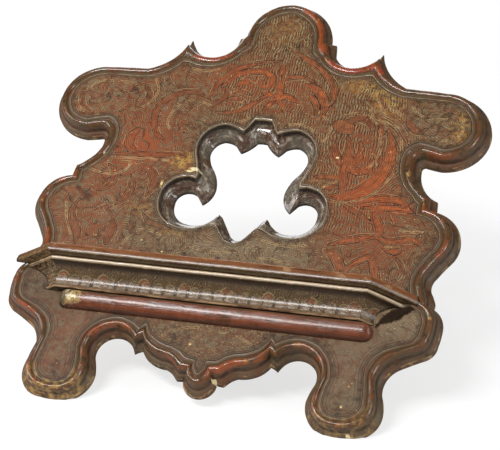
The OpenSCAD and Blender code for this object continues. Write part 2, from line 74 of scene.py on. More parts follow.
@dataclass(eq=False)
class Sock:
    """An output socket that shader expressions are written with, and the graph it is in."""

    graph: "Graph"
    socket: Optional[bpy.types.NodeSocket]

    def math(self, operation: str, *others: Any, flip: bool = False, clamp: bool = False) -> "Sock":
        """Adds one Math node.

        Args:
            operation: the Math node's operation.
            others: further operands, sockets or numbers.
            flip: puts this socket second, for the reflected forms.
            clamp: limits the result to 0 to 1.

        Returns:
            The node's value.
        """
        parts = [self, *others]
        if flip:
            parts.reverse()
        settings = {"operation": operation, "use_clamp": clamp}
        return self.graph.add("ShaderNodeMath", settings, dict(enumerate(parts)))

    def __add__(self, other: Any) -> "Sock":
        """Sum."""
        return self.math("ADD", other)

    __radd__ = __add__

    def __sub__(self, other: Any) -> "Sock":
        """Difference."""
        return self.math("SUBTRACT", other)

    def __rsub__(self, other: Any) -> "Sock":
        """Difference, from the other side."""
        return self.math("SUBTRACT", other, flip=True)

    def __mul__(self, other: Any) -> "Sock":
        """Product."""
        return self.math("MULTIPLY", other)

    __rmul__ = __mul__

    def __truediv__(self, other: Any) -> "Sock":
        """Quotient."""
        return self.math("DIVIDE", other)

    def __rtruediv__(self, other: Any) -> "Sock":
        """Quotient, from the other side."""
        return self.math("DIVIDE", other, flip=True)

    def __neg__(self) -> "Sock":
        """Negative."""
        return self.math("MULTIPLY", -1.0)

    def __abs__(self) -> "Sock":
        """Size without sign."""
        return self.math("ABSOLUTE")

    def sine(self) -> "Sock":
        """Sine of the value in radians."""
        return self.math("SINE")

    def cosine(self) -> "Sock":
        """Cosine of the value in radians."""
        return self.math("COSINE")

    def most(self, other: Any) -> "Sock":
        """Larger of two values."""
        return self.math("MAXIMUM", other)

    def clip(self) -> "Sock":
        """Value limited to 0 to 1."""
        return self.math("ADD", 0.0, clamp=True)

    def wave(self, period: float) -> "Sock":
        """Sine wave with that period in the value's own unit."""
        return (self * (2 * math.pi / period)).sine()

    def fold(self, half_period: float) -> "Sock":
        """Distance to the nearest of places that lie two half periods apart."""
        return self.math("PINGPONG", half_period)

    def swing(self, amount: float) -> "Sock":
        """Noise centred on 0, that swings by half of amount to each side."""
        return (self - 0.5) * amount

    def step(self, low: float, high: float) -> "Sock":
        """Smooth step from 0 at low to 1 at high; low above high gives a falling step."""
        falls = float(low > high)
        return self.graph.add(
            "ShaderNodeMapRange", {"interpolation_type": "SMOOTHSTEP", "clamp": True},
            {0: self, 1: min(low, high), 2: max(low, high), 3: falls, 4: 1.0 - falls},
        )

    def band(self, middle: float, half: float, soft: float) -> "Sock":
        """1 within half of middle, falling to 0 over soft."""
        return abs(self - middle).step(half + soft, half)


class Graph:
    """Node tree of one material, or of the world."""

    def __init__(self, owner: Union[bpy.types.Material, bpy.types.World]) -> None:
        """Empties the owner's tree and keeps it."""
        owner.use_nodes = True
        self.owner = owner
        self.tree = owner.node_tree
        self.tree.nodes.clear()

    @classmethod
    def of_material(cls, name: str) -> "Graph":
        """Graph of a new material."""
        return cls(bpy.data.materials.new(name))

    def add(
        self,
        kind: str,
        settings: Optional[Dict[str, Any]] = None,
        inputs: Optional[Dict[Union[int, str], Any]] = None,
        out: Union[int, str] = 0,
    ) -> Sock:
        """Adds any node.

        Args:
            kind: the node's type.
            settings: its settings, set first.
            inputs: values or sockets by the name or number of the node's own socket.
            out: the name or number of the output that is wanted.

        Returns:
            That output.
        """
        node = self.tree.nodes.new(kind)
        for key, value in (settings or {}).items():
            setattr(node, key, value)
        for key, value in (inputs or {}).items():
            target = node.inputs[key]
            if isinstance(value, Sock):
                self.tree.links.new(value.socket, target)
            elif isinstance(value, tuple) and len(value) == 3 and target.type == "RGBA":
                target.default_value = (*value, 1.0)
            else:
                target.default_value = value
        return Sock(self, node.outputs[out]) if len(node.outputs) else Sock(self, None)

    @cached_property
    def point(self) -> Sock:
        """Object coordinates in millimetres."""
        place = self.add("ShaderNodeTexCoord", out="Object")
        return self.add("ShaderNodeVectorMath", {"operation": "SCALE"}, {0: place, 3: 1000.0})

    def along(self, direction: Tuple[float, float, float]) -> Sock:
        """Distance of the shaded point along a unit direction."""
        return self.add(
            "ShaderNodeVectorMath", {"operation": "DOT_PRODUCT"},
            {0: self.point, 1: direction}, out="Value",
        )

    def across(self) -> Sock:
        """Distance of the shaded point to the right of the panel's middle."""
        return self.along((1.0, 0.0, 0.0))

    def up_slope(self) -> Sock:
        """Distance of the shaded point up the slope from the panel's middle."""
        return self.along(SLOPE.up) - SLOPE.up_offset

    def reach(self, x: Sock, y: Sock) -> Sock:
        """Length of the flat arrow x, y: the root of x^2 + y^2."""
        arrow = self.add("ShaderNodeCombineXYZ", {}, {0: x, 1: y, 2: 0.0})
        return self.add("ShaderNodeVectorMath", {"operation": "LENGTH"}, {0: arrow}, out="Value")

    def attributes(self, *names: str) -> List[Sock]:
        """Some of the mesh's own numbers, in the order of their names."""
        return [
            self.add("ShaderNodeAttribute", {"attribute_type": "GEOMETRY", "attribute_name": name},
                     out="Fac")
            for name in names
        ]

    def noise(
        self, size: float, detail: float = 3.0, rough: float = 0.55, warp: float = 0.0,
        where: Optional[Sock] = None,
    ) -> Sock:
        """Noise from 0 to 1, centred on a half.

        Args:
            size: size of its blotches in millimetres.
            detail: number of finer layers.
            rough: strength of the finer layers.
            warp: distortion.
            where: coordinates, or None for object coordinates in millimetres.

        Returns:
            The noise value.
        """
        return self.add(
            "ShaderNodeTexNoise", {"noise_dimensions": "3D"},
            {"Vector": where or self.point, "Scale": 1.0 / size, "Detail": detail,
             "Roughness": rough, "Distortion": warp},
        )

    def streaks(self, length: Sock, width: Sock, third: Sock, warp: float) -> Sock:
        """Noise drawn out along a run, from coordinates counted in streak lengths and widths."""
        where = self.add("ShaderNodeCombineXYZ", {}, {0: length, 1: width, 2: third})
        return self.noise(1.0, 4, 0.65, warp, where=where)

    def stretched(self, scale: Tuple[float, float, float], grain: "Grain") -> Sock:
        """Object coordinates turned to the grain and then scaled."""
        return self.add(
            "ShaderNodeMapping", {"vector_type": "TEXTURE"},
            {"Vector": self.point, "Rotation": grain.value, "Scale": scale},
        )

    def cells(self, size: float, out: str = "Distance") -> Sock:
        """Scattered cells.

        Args:
            size: size of a cell in millimetres.
            out: "Distance" to the nearest centre in shares of the size, or "Color" for one value
                from 0 to 1 all over each cell.

        Returns:
            That output.
        """
        return self.add(
            "ShaderNodeTexVoronoi", {"feature": "F1"},
            {"Vector": self.point, "Scale": 1.0 / size}, out=out,
        )

    def specks(self, size: float, share: float) -> Sock:
        """Small separate dots: 1 within share of each cell's centre."""
        return self.cells(size).step(share, share * 0.6)

    def ray(self, kind: str) -> Sock:
        """1 for light rays of a kind, such as Camera or Glossy."""
        return self.add("ShaderNodeLightPath", out=f"Is {kind} Ray")

    def toned(self, colour: Sock, factor: Sock) -> Sock:
        """Colour made lighter or darker by a factor."""
        return self.add("ShaderNodeVectorMath", {"operation": "SCALE"}, {0: colour, 3: factor})

    def blend(self, under: Any, over: Any, share: Any) -> Sock:
        """Mixes two colours by a share, which the node limits to 0 for under and 1 for over."""
        return self.add("ShaderNodeMix", {"data_type": "RGBA"}, {0: share, 6: under, 7: over}, 2)

    def layered(self, colour: Any, *layers: Tuple[Any, Any]) -> Sock:
        """Lays colours over one another in turn, each with its share."""
        for over, share in layers:
            colour = self.blend(colour, over, share)
        return colour

    def mixed(self, share: Sock, first: Sock, second: Sock) -> Sock:
        """Mixes two shaders by a share, 0 for the first and 1 for the second."""
        return self.add("ShaderNodeMixShader", {}, {0: share, 1: first, 2: second})

    def finish(
        self, colour: Any, rough: Any, height: Optional[Sock] = None, depth: float = 0.4,
        metal: Any = 0.0, coat: Any = 0.0, coat_rough: float = 0.15, specular: float = 0.5,
    ) -> bpy.types.Material:
        """Closes the material with a Principled shader.

        Args:
            colour: base colour.
            rough: roughness.
            height: bump height, 0 to 1 or so.
            depth: what a height of 1 stands for, in millimetres.
            metal: metallic share.
            coat: weight of the clear coat.
            coat_rough: roughness of the coat.
            specular: reflection level.

        Returns:
            The material.
        """
        inputs: Dict[Union[int, str], Any] = {
            "Base Color": colour, "Roughness": rough, "Metallic": metal, "Coat Weight": coat,
            "Coat Roughness": coat_rough, "Specular IOR Level": specular,
        }
        if height is not None:
            bump = {"Height": height, "Distance": depth / 1000, "Strength": 1.0}
            inputs["Normal"] = self.add("ShaderNodeBump", {}, bump, "Normal")
        surface = self.add("ShaderNodeBsdfPrincipled", {}, inputs)
        self.add("ShaderNodeOutputMaterial", {}, {"Surface": surface})
        return self.owner


# ---------------------------------------------------------------- shapes


@dataclass(frozen=True)
class Slope:
    """How the flat panel stands: leaned back about x, then lifted onto its feet."""

    degrees: float = 37.4
    shift: float = -23.0235
    lift: float = 127.695

    @property
    def up(self) -> Tuple[float, float, float]:
        """Direction up the slope."""
        angle = math.radians(self.degrees)
        return (0.0, math.cos(angle), math.sin(angle))

    @property
    def out(self) -> Tuple[float, float, float]:
        """Direction out of the front, square to the one up the slope."""
        return (0.0, -self.up[2], self.up[1])

    @property
    def up_offset(self) -> float:
        """Distance of the panel centre along the up direction."""
        return self.shift * self.up[1] + self.lift * self.up[2]

    def place(self, points: Array) -> Array:
        """Leans panel points back: x stays, y goes along up and z along out.

        Args:
            points: rows of x, y, z in millimetres.

        Returns:
            The points of the standing panel in metres.
        """
        up, out = np.array(self.up), np.array(self.out)
        moved = points[:, :1] * [1.0, 0.0, 0.0] + points[:, 1:2] * up + points[:, 2:3] * out
        return (moved + [0.0, self.shift, self.lift]) / 1000

    def keep_above_table(self, points: Array) -> Array:
        """Raises y where a point would be under the table: y sin a + z cos a + lift >= 0."""
        least = -(self.lift + points[:, 2] * self.out[2]) / self.up[2]
        kept = points.copy()
        kept[:, 1] = np.maximum(kept[:, 1], least)
        return kept


SLOPE = Slope()


def linked(name: str, data: Any) -> bpy.types.Object:
    """New object at the origin, linked to the scene."""
    thing = bpy.data.objects.new(name, data)
    bpy.context.scene.collection.objects.link(thing)
    return thing


@dataclass
class Shape:
    """Vertices in millimetres, faces with their zone, and numbers kept on the vertices."""

    points: Array = field(default_factory=lambda: np.zeros((0, 3)))
    faces: List[List[int]] = field(default_factory=list)
    zones: List[int] = field(default_factory=list)
    marks: Dict[str, Array] = field(default_factory=dict)

    def add_points(self, points: Array, **marks: Any) -> int:
        """Adds vertices with their marks and returns the number of the first one."""
        first = len(self.points)
        count = len(points)
        self.points = np.vstack([self.points, points])
        for name in {**self.marks, **marks}:
            old = self.marks.get(name, np.zeros(first))
            new = np.broadcast_to(np.asarray(marks.get(name, 0.0), float), (count,))
            self.marks[name] = np.concatenate([old, new])
        return first

    def set_marks(self, numbers: Array, **marks: Array) -> None:
        """Sets marks on some of the vertices, given by their numbers."""
        for name, values in marks.items():
            self.marks.setdefault(name, np.zeros(len(self.points)))[numbers] = values

    def add_faces(self, faces: Array, zone: int) -> None:
        """Adds faces that share a zone."""
        self.faces.extend(faces.tolist())
        self.zones.extend([zone] * len(faces))

    def add_tube(self, first: int, rows: int, columns: int, zone: int, flip: bool) -> None:
        """Joins rings of vertices with quads.

        Args:
            first: number of the first vertex.
            rows: number of rings.
            columns: vertices in a ring.
            zone: zone of the faces.
            flip: turns the faces over.
        """
        row, column = np.meshgrid(np.arange(rows - 1), np.arange(columns), indexing="ij")
        here = first + row * columns + column
        right = first + row * columns + (column + 1) % columns
        quads = np.stack([here, right, right + columns, here + columns], -1).reshape(-1, 4)
        self.add_faces(quads[:, ::-1] if flip else quads, zone)

    def build(
        self, name: str, materials: Sequence[bpy.types.Material], crease: float = 38.0,
        place: Callable[[Array], Array] = SLOPE.place,
    ) -> bpy.types.Object:
        """Makes the mesh object.

        Args:
            name: the object's name.
            materials: one for each zone.
            crease: angle in degrees above which an edge stays sharp.
            place: turns millimetre points into the standing frame.

        Returns:
            The linked object, at the origin.
        """
        mesh = bpy.data.meshes.new(name)
        mesh.from_pydata(place(self.points).tolist(), [], self.faces)
        for material in materials:
            mesh.materials.append(material)
        mesh.polygons.foreach_set("material_index", np.array(self.zones, np.int32))
        mesh.polygons.foreach_set("use_smooth", np.ones(len(self.faces), bool))
        for mark, values in self.marks.items():
            layer = mesh.attributes.new(mark, "FLOAT", "POINT")
            layer.data.foreach_set("value", values.astype(np.float32))
        mesh.update()
        mesh.set_sharp_from_angle(angle=math.radians(crease))
        log.info("%s: %d vertices, %d faces", name, len(self.points), len(self.faces))
        return linked(name, mesh)


@dataclass(frozen=True)
class Waviness:
    """Smooth unevenness of hand work: a sum of five sine waves in turned directions.

    height is about its largest rise and length its longest wave, in millimetres; seed shifts it.
    """

    height: float
    length: float
    seed: float
    shorter: float = 1.37
    largest_sum: float = 2.6

    def at(self, points: Array) -> Array:
        """Rise at each of some points, given as rows of coordinates."""
        total = np.zeros(len(points))
        for k in range(5):
            turn = 2.4 * k + self.seed
            heading = np.array([math.cos(turn), math.sin(turn), 0.35 * math.sin(3 * turn)])
            phase = points @ heading * (2 * math.pi * self.shorter ** k / self.length) + 5 * turn
            total += np.sin(phase) / (1 + 0.5 * k)
        return self.height * total / self.largest_sum


def turned(points: Array, x: float, y: float, degrees: float) -> Array:
    """Turns panel points about an axis out of the front.

    Args:
        points: rows of x, y, z.
        x: place of the axis across.
        y: place of the axis up the slope.
        degrees: angle, right end up.

    Returns:
        The turned points; z stays.
    """
    a = math.radians(degrees)
    off_x, off_y = points[:, 0] - x, points[:, 1] - y
    return np.stack([x + off_x * math.cos(a) - off_y * math.sin(a),
                     y + off_x * math.sin(a) + off_y * math.cos(a), points[:, 2]], 1)


@dataclass(frozen=True)
class ArcChain:
    """Half an outline, made of arcs given by their start, swell and number of steps."""

    starts: Tuple[Tuple[float, float, float, int], ...]
    end: Tuple[float, float]

    def half(self, finer: int) -> Array:
        """Points of the half outline.

        An arc from p to q with swell s rises s times half its chord c to the left of p to q. Its
        radius is (c^2 / 4 + h^2) / 2h with h = s c / 2, and it turns by 4 atan(s).

        Args:
            finer: steps for each step given.

        Returns:
            The points, from the first start to the end.
        """
        straight = 0.001
        parts = []
        for (x, y, swell, steps), after in zip(self.starts, [*self.starts[1:], self.end]):
            t = np.arange(steps * finer)[:, None] / (steps * finer)
            p, q = np.array([x, y], float), np.array(after[:2], float)
            line = q - p
            if abs(swell) < straight:
                parts.append(p + line * t)
                continue
            chord = math.hypot(*line)
            side = np.array([-line[1], line[0]]) / chord
            rise = swell * chord / 2
            radius = (chord * chord / 4 + rise * rise) / (2 * abs(rise))
            centre = p + line / 2 + side * (rise - radius * np.sign(swell))
            start = math.atan2(p[1] - centre[1], p[0] - centre[0])
            angle = start - 4 * math.atan(swell) * t
            parts.append(centre + radius * np.hstack([np.cos(angle), np.sin(angle)]))
        return np.vstack([*parts, [self.end]])

    def loop(self, finer: int) -> Array:
        """Whole outline, the half and its mirror image."""
        half = self.half(finer)
        return np.vstack([half, half[-2:0:-1] * [-1, 1]])


def chains(rows: Sequence[Sequence[float]], ends: Sequence[float]) -> Tuple[ArcChain, ArcChain]:
    """Splits rows of x, y, swell, x, y, swell, steps into two chains with matching points."""
    first = tuple((r[0], r[1], r[2], int(r[6])) for r in rows)
    second = tuple((r[3], r[4], r[5], int(r[6])) for r in rows)
    return ArcChain(first, (ends[0], ends[1])), ArcChain(second, (ends[2], ends[3]))


# outer outline and the field's border, from the top middle down the right side
EDGE_ROWS = (
    (0, 282.5, 0.414, 0, 261, 0.39, 9), (47.5, 234.5, 0, 31, 223, 0, 1),
    (53.5, 234, 0, 31.5, 210, -0.1, 3), (55.5, 219, -0.62, 40, 204, -0.38, 10),
    (101, 218, -0.05, 97, 184, 0, 2), (106, 227, -0.25, 103, 183, -0.18, 7),
    (141, 183.5, 0.03, 140, 161, 0, 4), (182, 180.5, 0.41, 182, 160.5, 0.4, 8),
    (234, 133.5, 0.41, 214, 129.5, 0.41, 8), (190, 87.5, 0.03, 189, 104, -0.08, 2),
    (173.5, 90.5, -0.3, 166, 110, -0.3, 3), (170.3, 87.5, -0.2, 150, 92, -0.28, 5),
    (181, 57, -0.12, 168, 43.5, -0.1, 2), (192.5, 49.5, 0, 174.5, 35.5, 0, 2),
    (193.5, 37.5, 0.36, 175, 22, 0.4, 6), (222.5, 2, 0.15, 201.5, -2, 0.14, 3),
    (217, -17, -0.03, 196.5, -16, -0.06, 3), (205.5, -35.5, -0.34, 186.5, -34, -0.2, 4),
    (205.5, -57, 0, 183.5, -62, 0, 1), (208.5, -64, 0.15, 186.5, -72, 0.1, 2),
    (208, -71, 0.25, 188, -79, 0.25, 3), (220, -88, 0.06, 200.5, -92, 0.05, 3),
    (218.5, -109, 0.3, 199.5, -107, 0.28, 4), (207, -126, -0.02, 190, -119, -0.04, 3),
    (188, -137, -0.34, 172, -127, -0.3, 6), (175.5, -168, 0.09, 156.5, -157, 0.03, 3),
    (179.5, -186, 0.39, 160, -184, 0.32, 6), (156, -214.5, 0.14, 150, -201, 0.16, 4),
    (128, -214.5, 0.355, 131, -201, 0.28, 6), (105.5, -183, 0.06, 124.5, -186, 0.05, 3),
    (110.3, -166, -0.5, 127.5, -164, -0.4, 8), (91.5, -141, -0.213, 92, -125.5, -0.12, 4),
    (77, -147.5, -0.08, 74, -130.5, -0.05, 2), (72, -156, -0.1, 68, -134, -0.1, 2),
    (64.5, -151.8, 0.13, 62.5, -127.5, 0.2, 4), (54.5, -162.8, 0.14, 50, -143.5, 0.12, 4),
    (36, -168.2, -0.14, 31, -150, 0, 3), (26, -175.7, 0.1, 22, -154, 0, 1),
    (23, -178.7, 0, 15, -159.5, 0, 2), (16.5, -178, 0.414, 4.5, -161.5, 0.25, 6),
)
EDGE_ENDS = (0, -194.5, 0, -175)
# outline of the piercing and of its scoop, from the top middle down the right side
HOLE_ROWS = (
    (0, 102, 0, 0, 124, 0, 1), (5, 101.5, -0.13, 10, 123.5, 0, 4),
    (20, 87.5, -0.05, 17.5, 107.5, 0.05, 2), (26.5, 95.5, 0.18, 27, 110.5, 0.12, 3),
    (40, 99.5, 0.36, 41, 112.5, 0.3, 5), (52, 80.5, 0.12, 65, 86, 0.12, 4),
    (43.5, 63, -0.13, 62, 65, 0.03, 4), (36, 42, -0.25, 57.5, 50, 0, 4),
    (46, 20.5, 0, 57, 46, 0, 2), (53, 30, 0.2, 64, 45.5, 0.08, 3),
    (63, 33, 0.42, 77, 40.5, 0.25, 6), (75, 18, 0.4, 89.5, 15, 0.4, 7),
    (56, -4.5, 0.18, 59, -21, 0.12, 3), (36.5, -1.3, 0.05, 37, -19, 0, 2),
    (29, 5.5, -0.1, 30, -15.5, 0, 2), (25, 10.8, 0.1, 25, -13, 0, 2),
    (21.5, 8, 0, 20, -15, 0.05, 4), (8, -13.5, 0.2, 9, -30, 0.15, 3),
)
HOLE_ENDS = (0, -17.7, 0, -33)


def distance_to_loop(points: Array, loop: Array) -> Tuple[Array, Array]:
    """Distance of points to a closed outline, and whether they lie inside it.

    The distance is to the nearest segment. A point is inside when a ray to the right crosses the
    outline an odd number of times.

    Args:
        points: rows of x, y.
        loop: corners of the outline.

    Returns:
        Distances and inside flags.
    """
    tiny, at_once = 1e-12, 3000
    start, end = loop, np.roll(loop, -1, 0)
    line = end - start
    length = np.maximum((line ** 2).sum(1), tiny)
    near, inside = [], []
    for chunk in np.array_split(points, max(1, len(points) // at_once)):
        gap = chunk[:, None, :] - start
        t = np.clip((gap * line).sum(2) / length, 0, 1)
        near.append(np.sqrt(((gap - t[..., None] * line) ** 2).sum(2).min(1)))
        y = chunk[:, 1:2]
        spans = (start[:, 1] > y) != (end[:, 1] > y)
        rise = np.where(np.abs(line[:, 1]) < tiny, tiny, line[:, 1])
        cross = start[:, 0] + (y - start[:, 1]) / rise * line[:, 0]
        inside.append((spans & (chunk[:, :1] < cross)).sum(1) % 2 == 1)
    return np.concatenate(near), np.concatenate(inside)


# ---------------------------------------------------------------- painted ornament and painted shadow


@dataclass(frozen=True)
class Stroke:
    """A painted leaf or strap: places with half widths, and how bright its red is."""

    tone: float
    way: Tuple[Tuple[float, float, float], ...]

    def samples(self, steps: int = 7) -> Array:
        """Points of a Catmull-Rom curve through the places, half widths carried along."""
        way = np.array(self.way, float)
        ends = np.vstack([2 * way[0] - way[1], way, 2 * way[-1] - way[-2]])
        t = (np.arange(steps) / steps)[:, None]
        parts = [
            0.5 * (2 * b + (c - a) * t + (2 * a - 5 * b + 4 * c - d) * t ** 2
                   + (3 * b - a - 3 * c + d) * t ** 3)
            for a, b, c, d in zip(ends[:-3], ends[1:-2], ends[2:-1], ends[3:])
        ]
        return np.vstack([*parts, way[-1:]])


def s(tone: float, *numbers: float) -> Stroke:
    """Stroke from a run of x, y, half width triples."""
    return Stroke(tone, tuple(zip(numbers[0::3], numbers[1::3], numbers[2::3])))


def trail(*numbers: float) -> Stroke:
    """Engraved line from a run of x, y pairs."""
    return Stroke(0.0, tuple((x, y, 0.0) for x, y in zip(numbers[0::2], numbers[1::2])))


# painted leaves and straps, the nearest of which covers a point
STROKES = (
    # knot and straps above the piercing
    s(1.0, 6, 191, 2, 7, 181, 3.2, 8, 172, 2, 9, 163, 4.4),
    s(1.0, -53, 157, 1, -46, 169, 3.2, -31, 178, 3.8, -14, 180.5, 3.8, -3, 175, 3.6, -2, 166, 3.2,
      -9, 161, 2.8, -15, 165, 2.2, -14, 170, 1.2),
    s(0.8, -41, 158, 1, -32, 165, 3.6, -21, 163, 1.6),
    s(1.0, 10, 171, 1.4, 20, 176.5, 2.8, 32, 177, 2.4, 45, 172, 0.6),
    s(1.0, 31, 168, 1, 43, 165.5, 4.4, 54, 157, 5.2, 60.5, 144, 4.4, 60, 131, 2.2, 55, 124, 0.8),
    s(0.9, 37, 158, 0.8, 46, 151, 3.2, 52, 142, 3.2, 53, 131, 0.8),
    s(0.9, 7, 215, 0.8, 22, 206, 2.4, 38, 196, 3.4, 53, 184, 3.8, 64, 170, 4.2, 68, 156, 3.2,
      66, 145, 1),
    s(0.75, 3, 197, 0.8, -18, 192, 2.6, -38, 184, 3.2, -52, 172, 3.2, -60, 157, 2.8, -63, 145, 1),
    s(1.3, 9, 145, 2, 9.5, 154, 4, 9, 161, 1),
    s(1.25, 9, 146, 2, 0, 152, 3.4, -9, 153, 0.8),
    s(1.25, 9, 146, 2, 18, 152, 3.4, 26, 147.5, 2.4, 35, 144, 0.8),
    s(1.0, 9, 146, 2, 2, 139, 2.8, -3, 131, 0.8),
    s(1.0, 9, 146, 2, 17, 138, 2.8, 21, 130, 0.8),
    s(0.75, -53, 124, 0.8, -41, 124, 2.4, -28, 128.5, 3.2, -17, 137, 3.4, -8, 146, 2.4,
      -2, 151, 0.8),
    s(0.6, -46, 140, 0.8, -35, 143.5, 3, -24, 140, 0.8),
    s(0.7, -40, 150, 0.8, -30, 153, 2.2, -20, 149, 0.8),
    s(0.4, -13, 236, 0.8, -8, 245, 2.2, 2, 248, 2.6, 11, 244, 2.2, 14, 236, 1),
    s(0.35, -20, 224, 0.8, -15, 215, 2.2, -17, 206, 0.8),
    s(0.4, 15, 226, 0.8, 20, 233, 2, 24, 226, 0.8),
    # right hand scroll
    s(1.0, 131, 121, 0.8, 137, 107, 3.6, 139, 90, 5.6, 136, 72, 7.6, 129, 56, 8.6, 117, 43, 7.6,
      103, 36.5, 5.4, 91, 34.5, 3, 82, 36, 0.8),
    s(1.0, 121, 88, 0.8, 121.5, 76, 3.2, 115, 68, 4.6, 106, 67, 3.8, 101, 72, 1.2),
    s(0.95, 81, 121, 7.5, 87, 120, 8.5, 92, 116, 5),
    s(0.8, 92, 129, 3, 103, 132, 4.6, 112, 126, 3.8, 117, 116, 0.8),
    s(0.75, 99, 34, 1.6, 98, 47, 3.6, 95.5, 61, 4.6, 93, 74, 2.4),
    s(0.75, 92, 70, 2, 84.5, 82, 4.6, 80.5, 94, 3.8, 83, 105, 0.8),
    s(0.85, 95, 66, 2.4, 96.5, 82, 5.4, 95.5, 96, 4.2, 92, 108, 0.8),
    s(0.75, 98, 66, 2.4, 106, 78, 4.6, 109, 92, 3.2, 105, 103, 0.8),
    s(0.8, 92, 57, 2.4, 82, 57.5, 3.8, 72, 55.5, 3, 64, 52, 0.8),
    s(0.6, 92, 46, 2, 82, 45, 3.4, 74, 47, 0.8),
    s(0.8, 121, 108, 0.8, 125, 117, 4.2, 122, 128, 1.4),
    # pair of leaves reaching the right waist
    s(1.05, 117, 30, 0.8, 128, 35.5, 3.2, 142, 38, 4.2, 156, 37, 3.6, 168, 31, 0.6),
    s(1.05, 121, 24.5, 0.8, 136, 26.5, 2.4, 152, 27.5, 3.6, 166, 27, 3, 174, 24.5, 0.6),
    s(0.7, 103, 26, 0.8, 114, 20.5, 2.6, 125, 14, 2.6, 134, 8, 0.8),
    # spray at the lower right
    s(0.85, 131, 25, 1, 137.5, 14, 4.6, 143, 3, 5.2, 144, -8, 2),
    s(1.0, 97, -22, 0.8, 108, -17, 3, 120, -12.5, 4, 132, -8.5, 3.4, 143, -7, 1.6),
    s(0.95, 143, -7, 1.6, 155, -11.5, 3.8, 167, -8, 3.6, 178, -6.5, 3.6, 189, -11, 0.8),
    s(0.9, 151, -20, 1, 163, -21.5, 3.4, 173, -17, 1),
    s(0.9, 94, -28, 1, 105, -33, 4.6, 112, -43, 5.4, 116, -54, 3),
    s(0.9, 115, -55, 2, 124, -41, 3.4, 136, -32, 3.2, 148, -25, 1),
    s(0.9, 139, -29, 1.6, 146, -41, 4.2, 150, -53, 4, 159, -63, 1),
    s(0.6, 166, -28, 0.8, 173, -39, 2.2, 171, -52, 0.8),
    # right arm
    s(0.55, 149, 137, 1, 154, 128, 4.4, 162, 121, 3.4, 171, 126, 0.8),
    s(0.3, 180, 148, 0.8, 190, 151, 2.6, 201, 145, 0.8),
    s(0.3, 176, 117, 0.8, 186, 126, 2.4, 196, 123, 1.6, 205, 130, 0.8),
    s(0.5, 101, 160, 0.8, 109, 152, 2.6, 119, 148, 3, 130, 151, 0.8),
    s(0.45, 104, 172, 0.8, 112, 176.5, 2.2, 121, 172, 0.8),
    # duller scrolls of the left side
    s(0.5, -62, 139, 0.8, -76, 147, 2.8, -93, 146, 3.6, -108, 137, 4, -116, 122, 3.8,
      -116, 106, 3.2, -110, 92, 2.6, -99, 84, 0.8),
    s(0.4, -70, 135, 0.8, -80, 128, 2, -88, 116, 2.8, -86, 104, 2.6, -78, 98, 0.8),
    s(0.55, -59, 132, 2, -51, 140, 3, -46, 150, 2.2, -49, 159, 0.8),
    s(0.55, -127, 98, 1, -136, 85, 4.6, -134, 72, 4.6, -123, 63, 2),
    s(0.6, -151, 60.5, 0.8, -130, 63, 2.2, -108, 64, 2.8, -88, 66, 3.2, -73, 68, 1.4),
    s(0.5, -119, 53, 0.8, -106, 46, 3.8, -98, 36, 4.8, -98, 24, 3.8, -101, 13, 0.8),
    s(0.4, -151, 48, 0.8, -142, 40, 3.8, -140, 28, 3.8, -148, 18, 2.8, -159, 16, 0.8),
    s(0.4, -124, 37, 1, -119, 24, 3.8, -122, 10, 3.8, -131, 0, 1),
    s(0.4, -170, 3, 0.8, -174, -10, 2.8, -170, -24, 3.8, -162, -36, 3.8, -160, -49, 1),
    s(0.45, -128, -18, 1, -126, -32, 4.8, -128, -45, 3),
    s(0.35, -99, -7, 0.8, -90, -16, 2.8, -78, -20, 2.8, -65, -22, 0.8),
    s(0.55, -175, 151, 0.8, -184, 146, 4.2, -182, 138, 3.8, -190, 131, 2.8, -197, 138, 2.4,
      -203, 132, 2.4, -200, 120, 2.4, -189, 112, 0.8),
    s(0.4, -161, 141, 0.8, -150, 134, 2.4, -148, 124, 2, -157, 115, 0.8),
    s(0.45, -137, 151, 0.8, -130, 140, 3.2, -132, 128, 2.8, -141, 119, 0.8),
    s(0.5, -96, 172, 0.8, -84, 168, 2.6, -74, 172, 0.8),
)

# thin engraved lines
LINES = tuple(trail(*run) for run in (
    (80, 134, 92, 137.5, 104, 136, 115, 129, 123, 117, 127, 103, 127, 90, 124, 78, 118, 72),
    (146, 112, 149, 95, 148, 78, 143, 62, 134, 47, 121, 35.5, 105, 29.5, 88, 29),
    (110, 168, 106, 155, 108, 143, 116, 134, 128, 128, 141, 124), (112, 165, 117, 151, 126, 139),
    (120, 168, 124, 154, 134, 141), (129, 160, 132, 150, 141, 139),
    (-151, 56, -130, 57.5, -108, 58.5, -88, 59), (-147, 52, -131, 53, -115, 52),
    (-60, 132, -72, 136, -84, 135.5, -94, 129, -100, 118, -101, 105, -95, 95),
    (-200, 140, -190, 151, -172, 154, -152, 153), (-206, 126, -200, 112, -186, 107, -172, 110),
    (-128, 160, -122, 148, -124, 134, -134, 122), (-170, 40, -150, 36, -134, 40, -126, 52),
    (-184, 0, -178, -20, -168, -40), (-112, -50, -104, -30, -90, -26, -74, -30),
    (-40, -40, -20, -44, 0, -42, 20, -46, 42, -44, 62, -48), (30, -24, 44, -27, 60, -28, 76, -24),
    (152, 150, 160, 142, 174, 138, 188, 140), (186, 112, 198, 116, 206, 124, 205, 138),
    (66, 96, 72, 110, 70, 122, 62, 130), (70, 30, 78, 44, 92, 54),
    (150, 20, 158, 8, 170, 2, 186, 4), (-30, 112, -22, 116, -12, 122),
    (26, 116, 40, 118, 54, 112), (60, 200, 74, 190, 92, 188), (-92, 178, -74, 176, -62, 180),
    (-10, -128, -30, -132, -44, -142), (12, -130, 30, -132, 46, -140),
))

# painted shadow that the right return casts on the field
RETURN_SHADOW = (s(0, 159, -105.5, 1.2, 166.5, -97, 4.6, 175, -90.5, 6.6, 184, -84.5, 5.6, 193, -80, 3.2),)


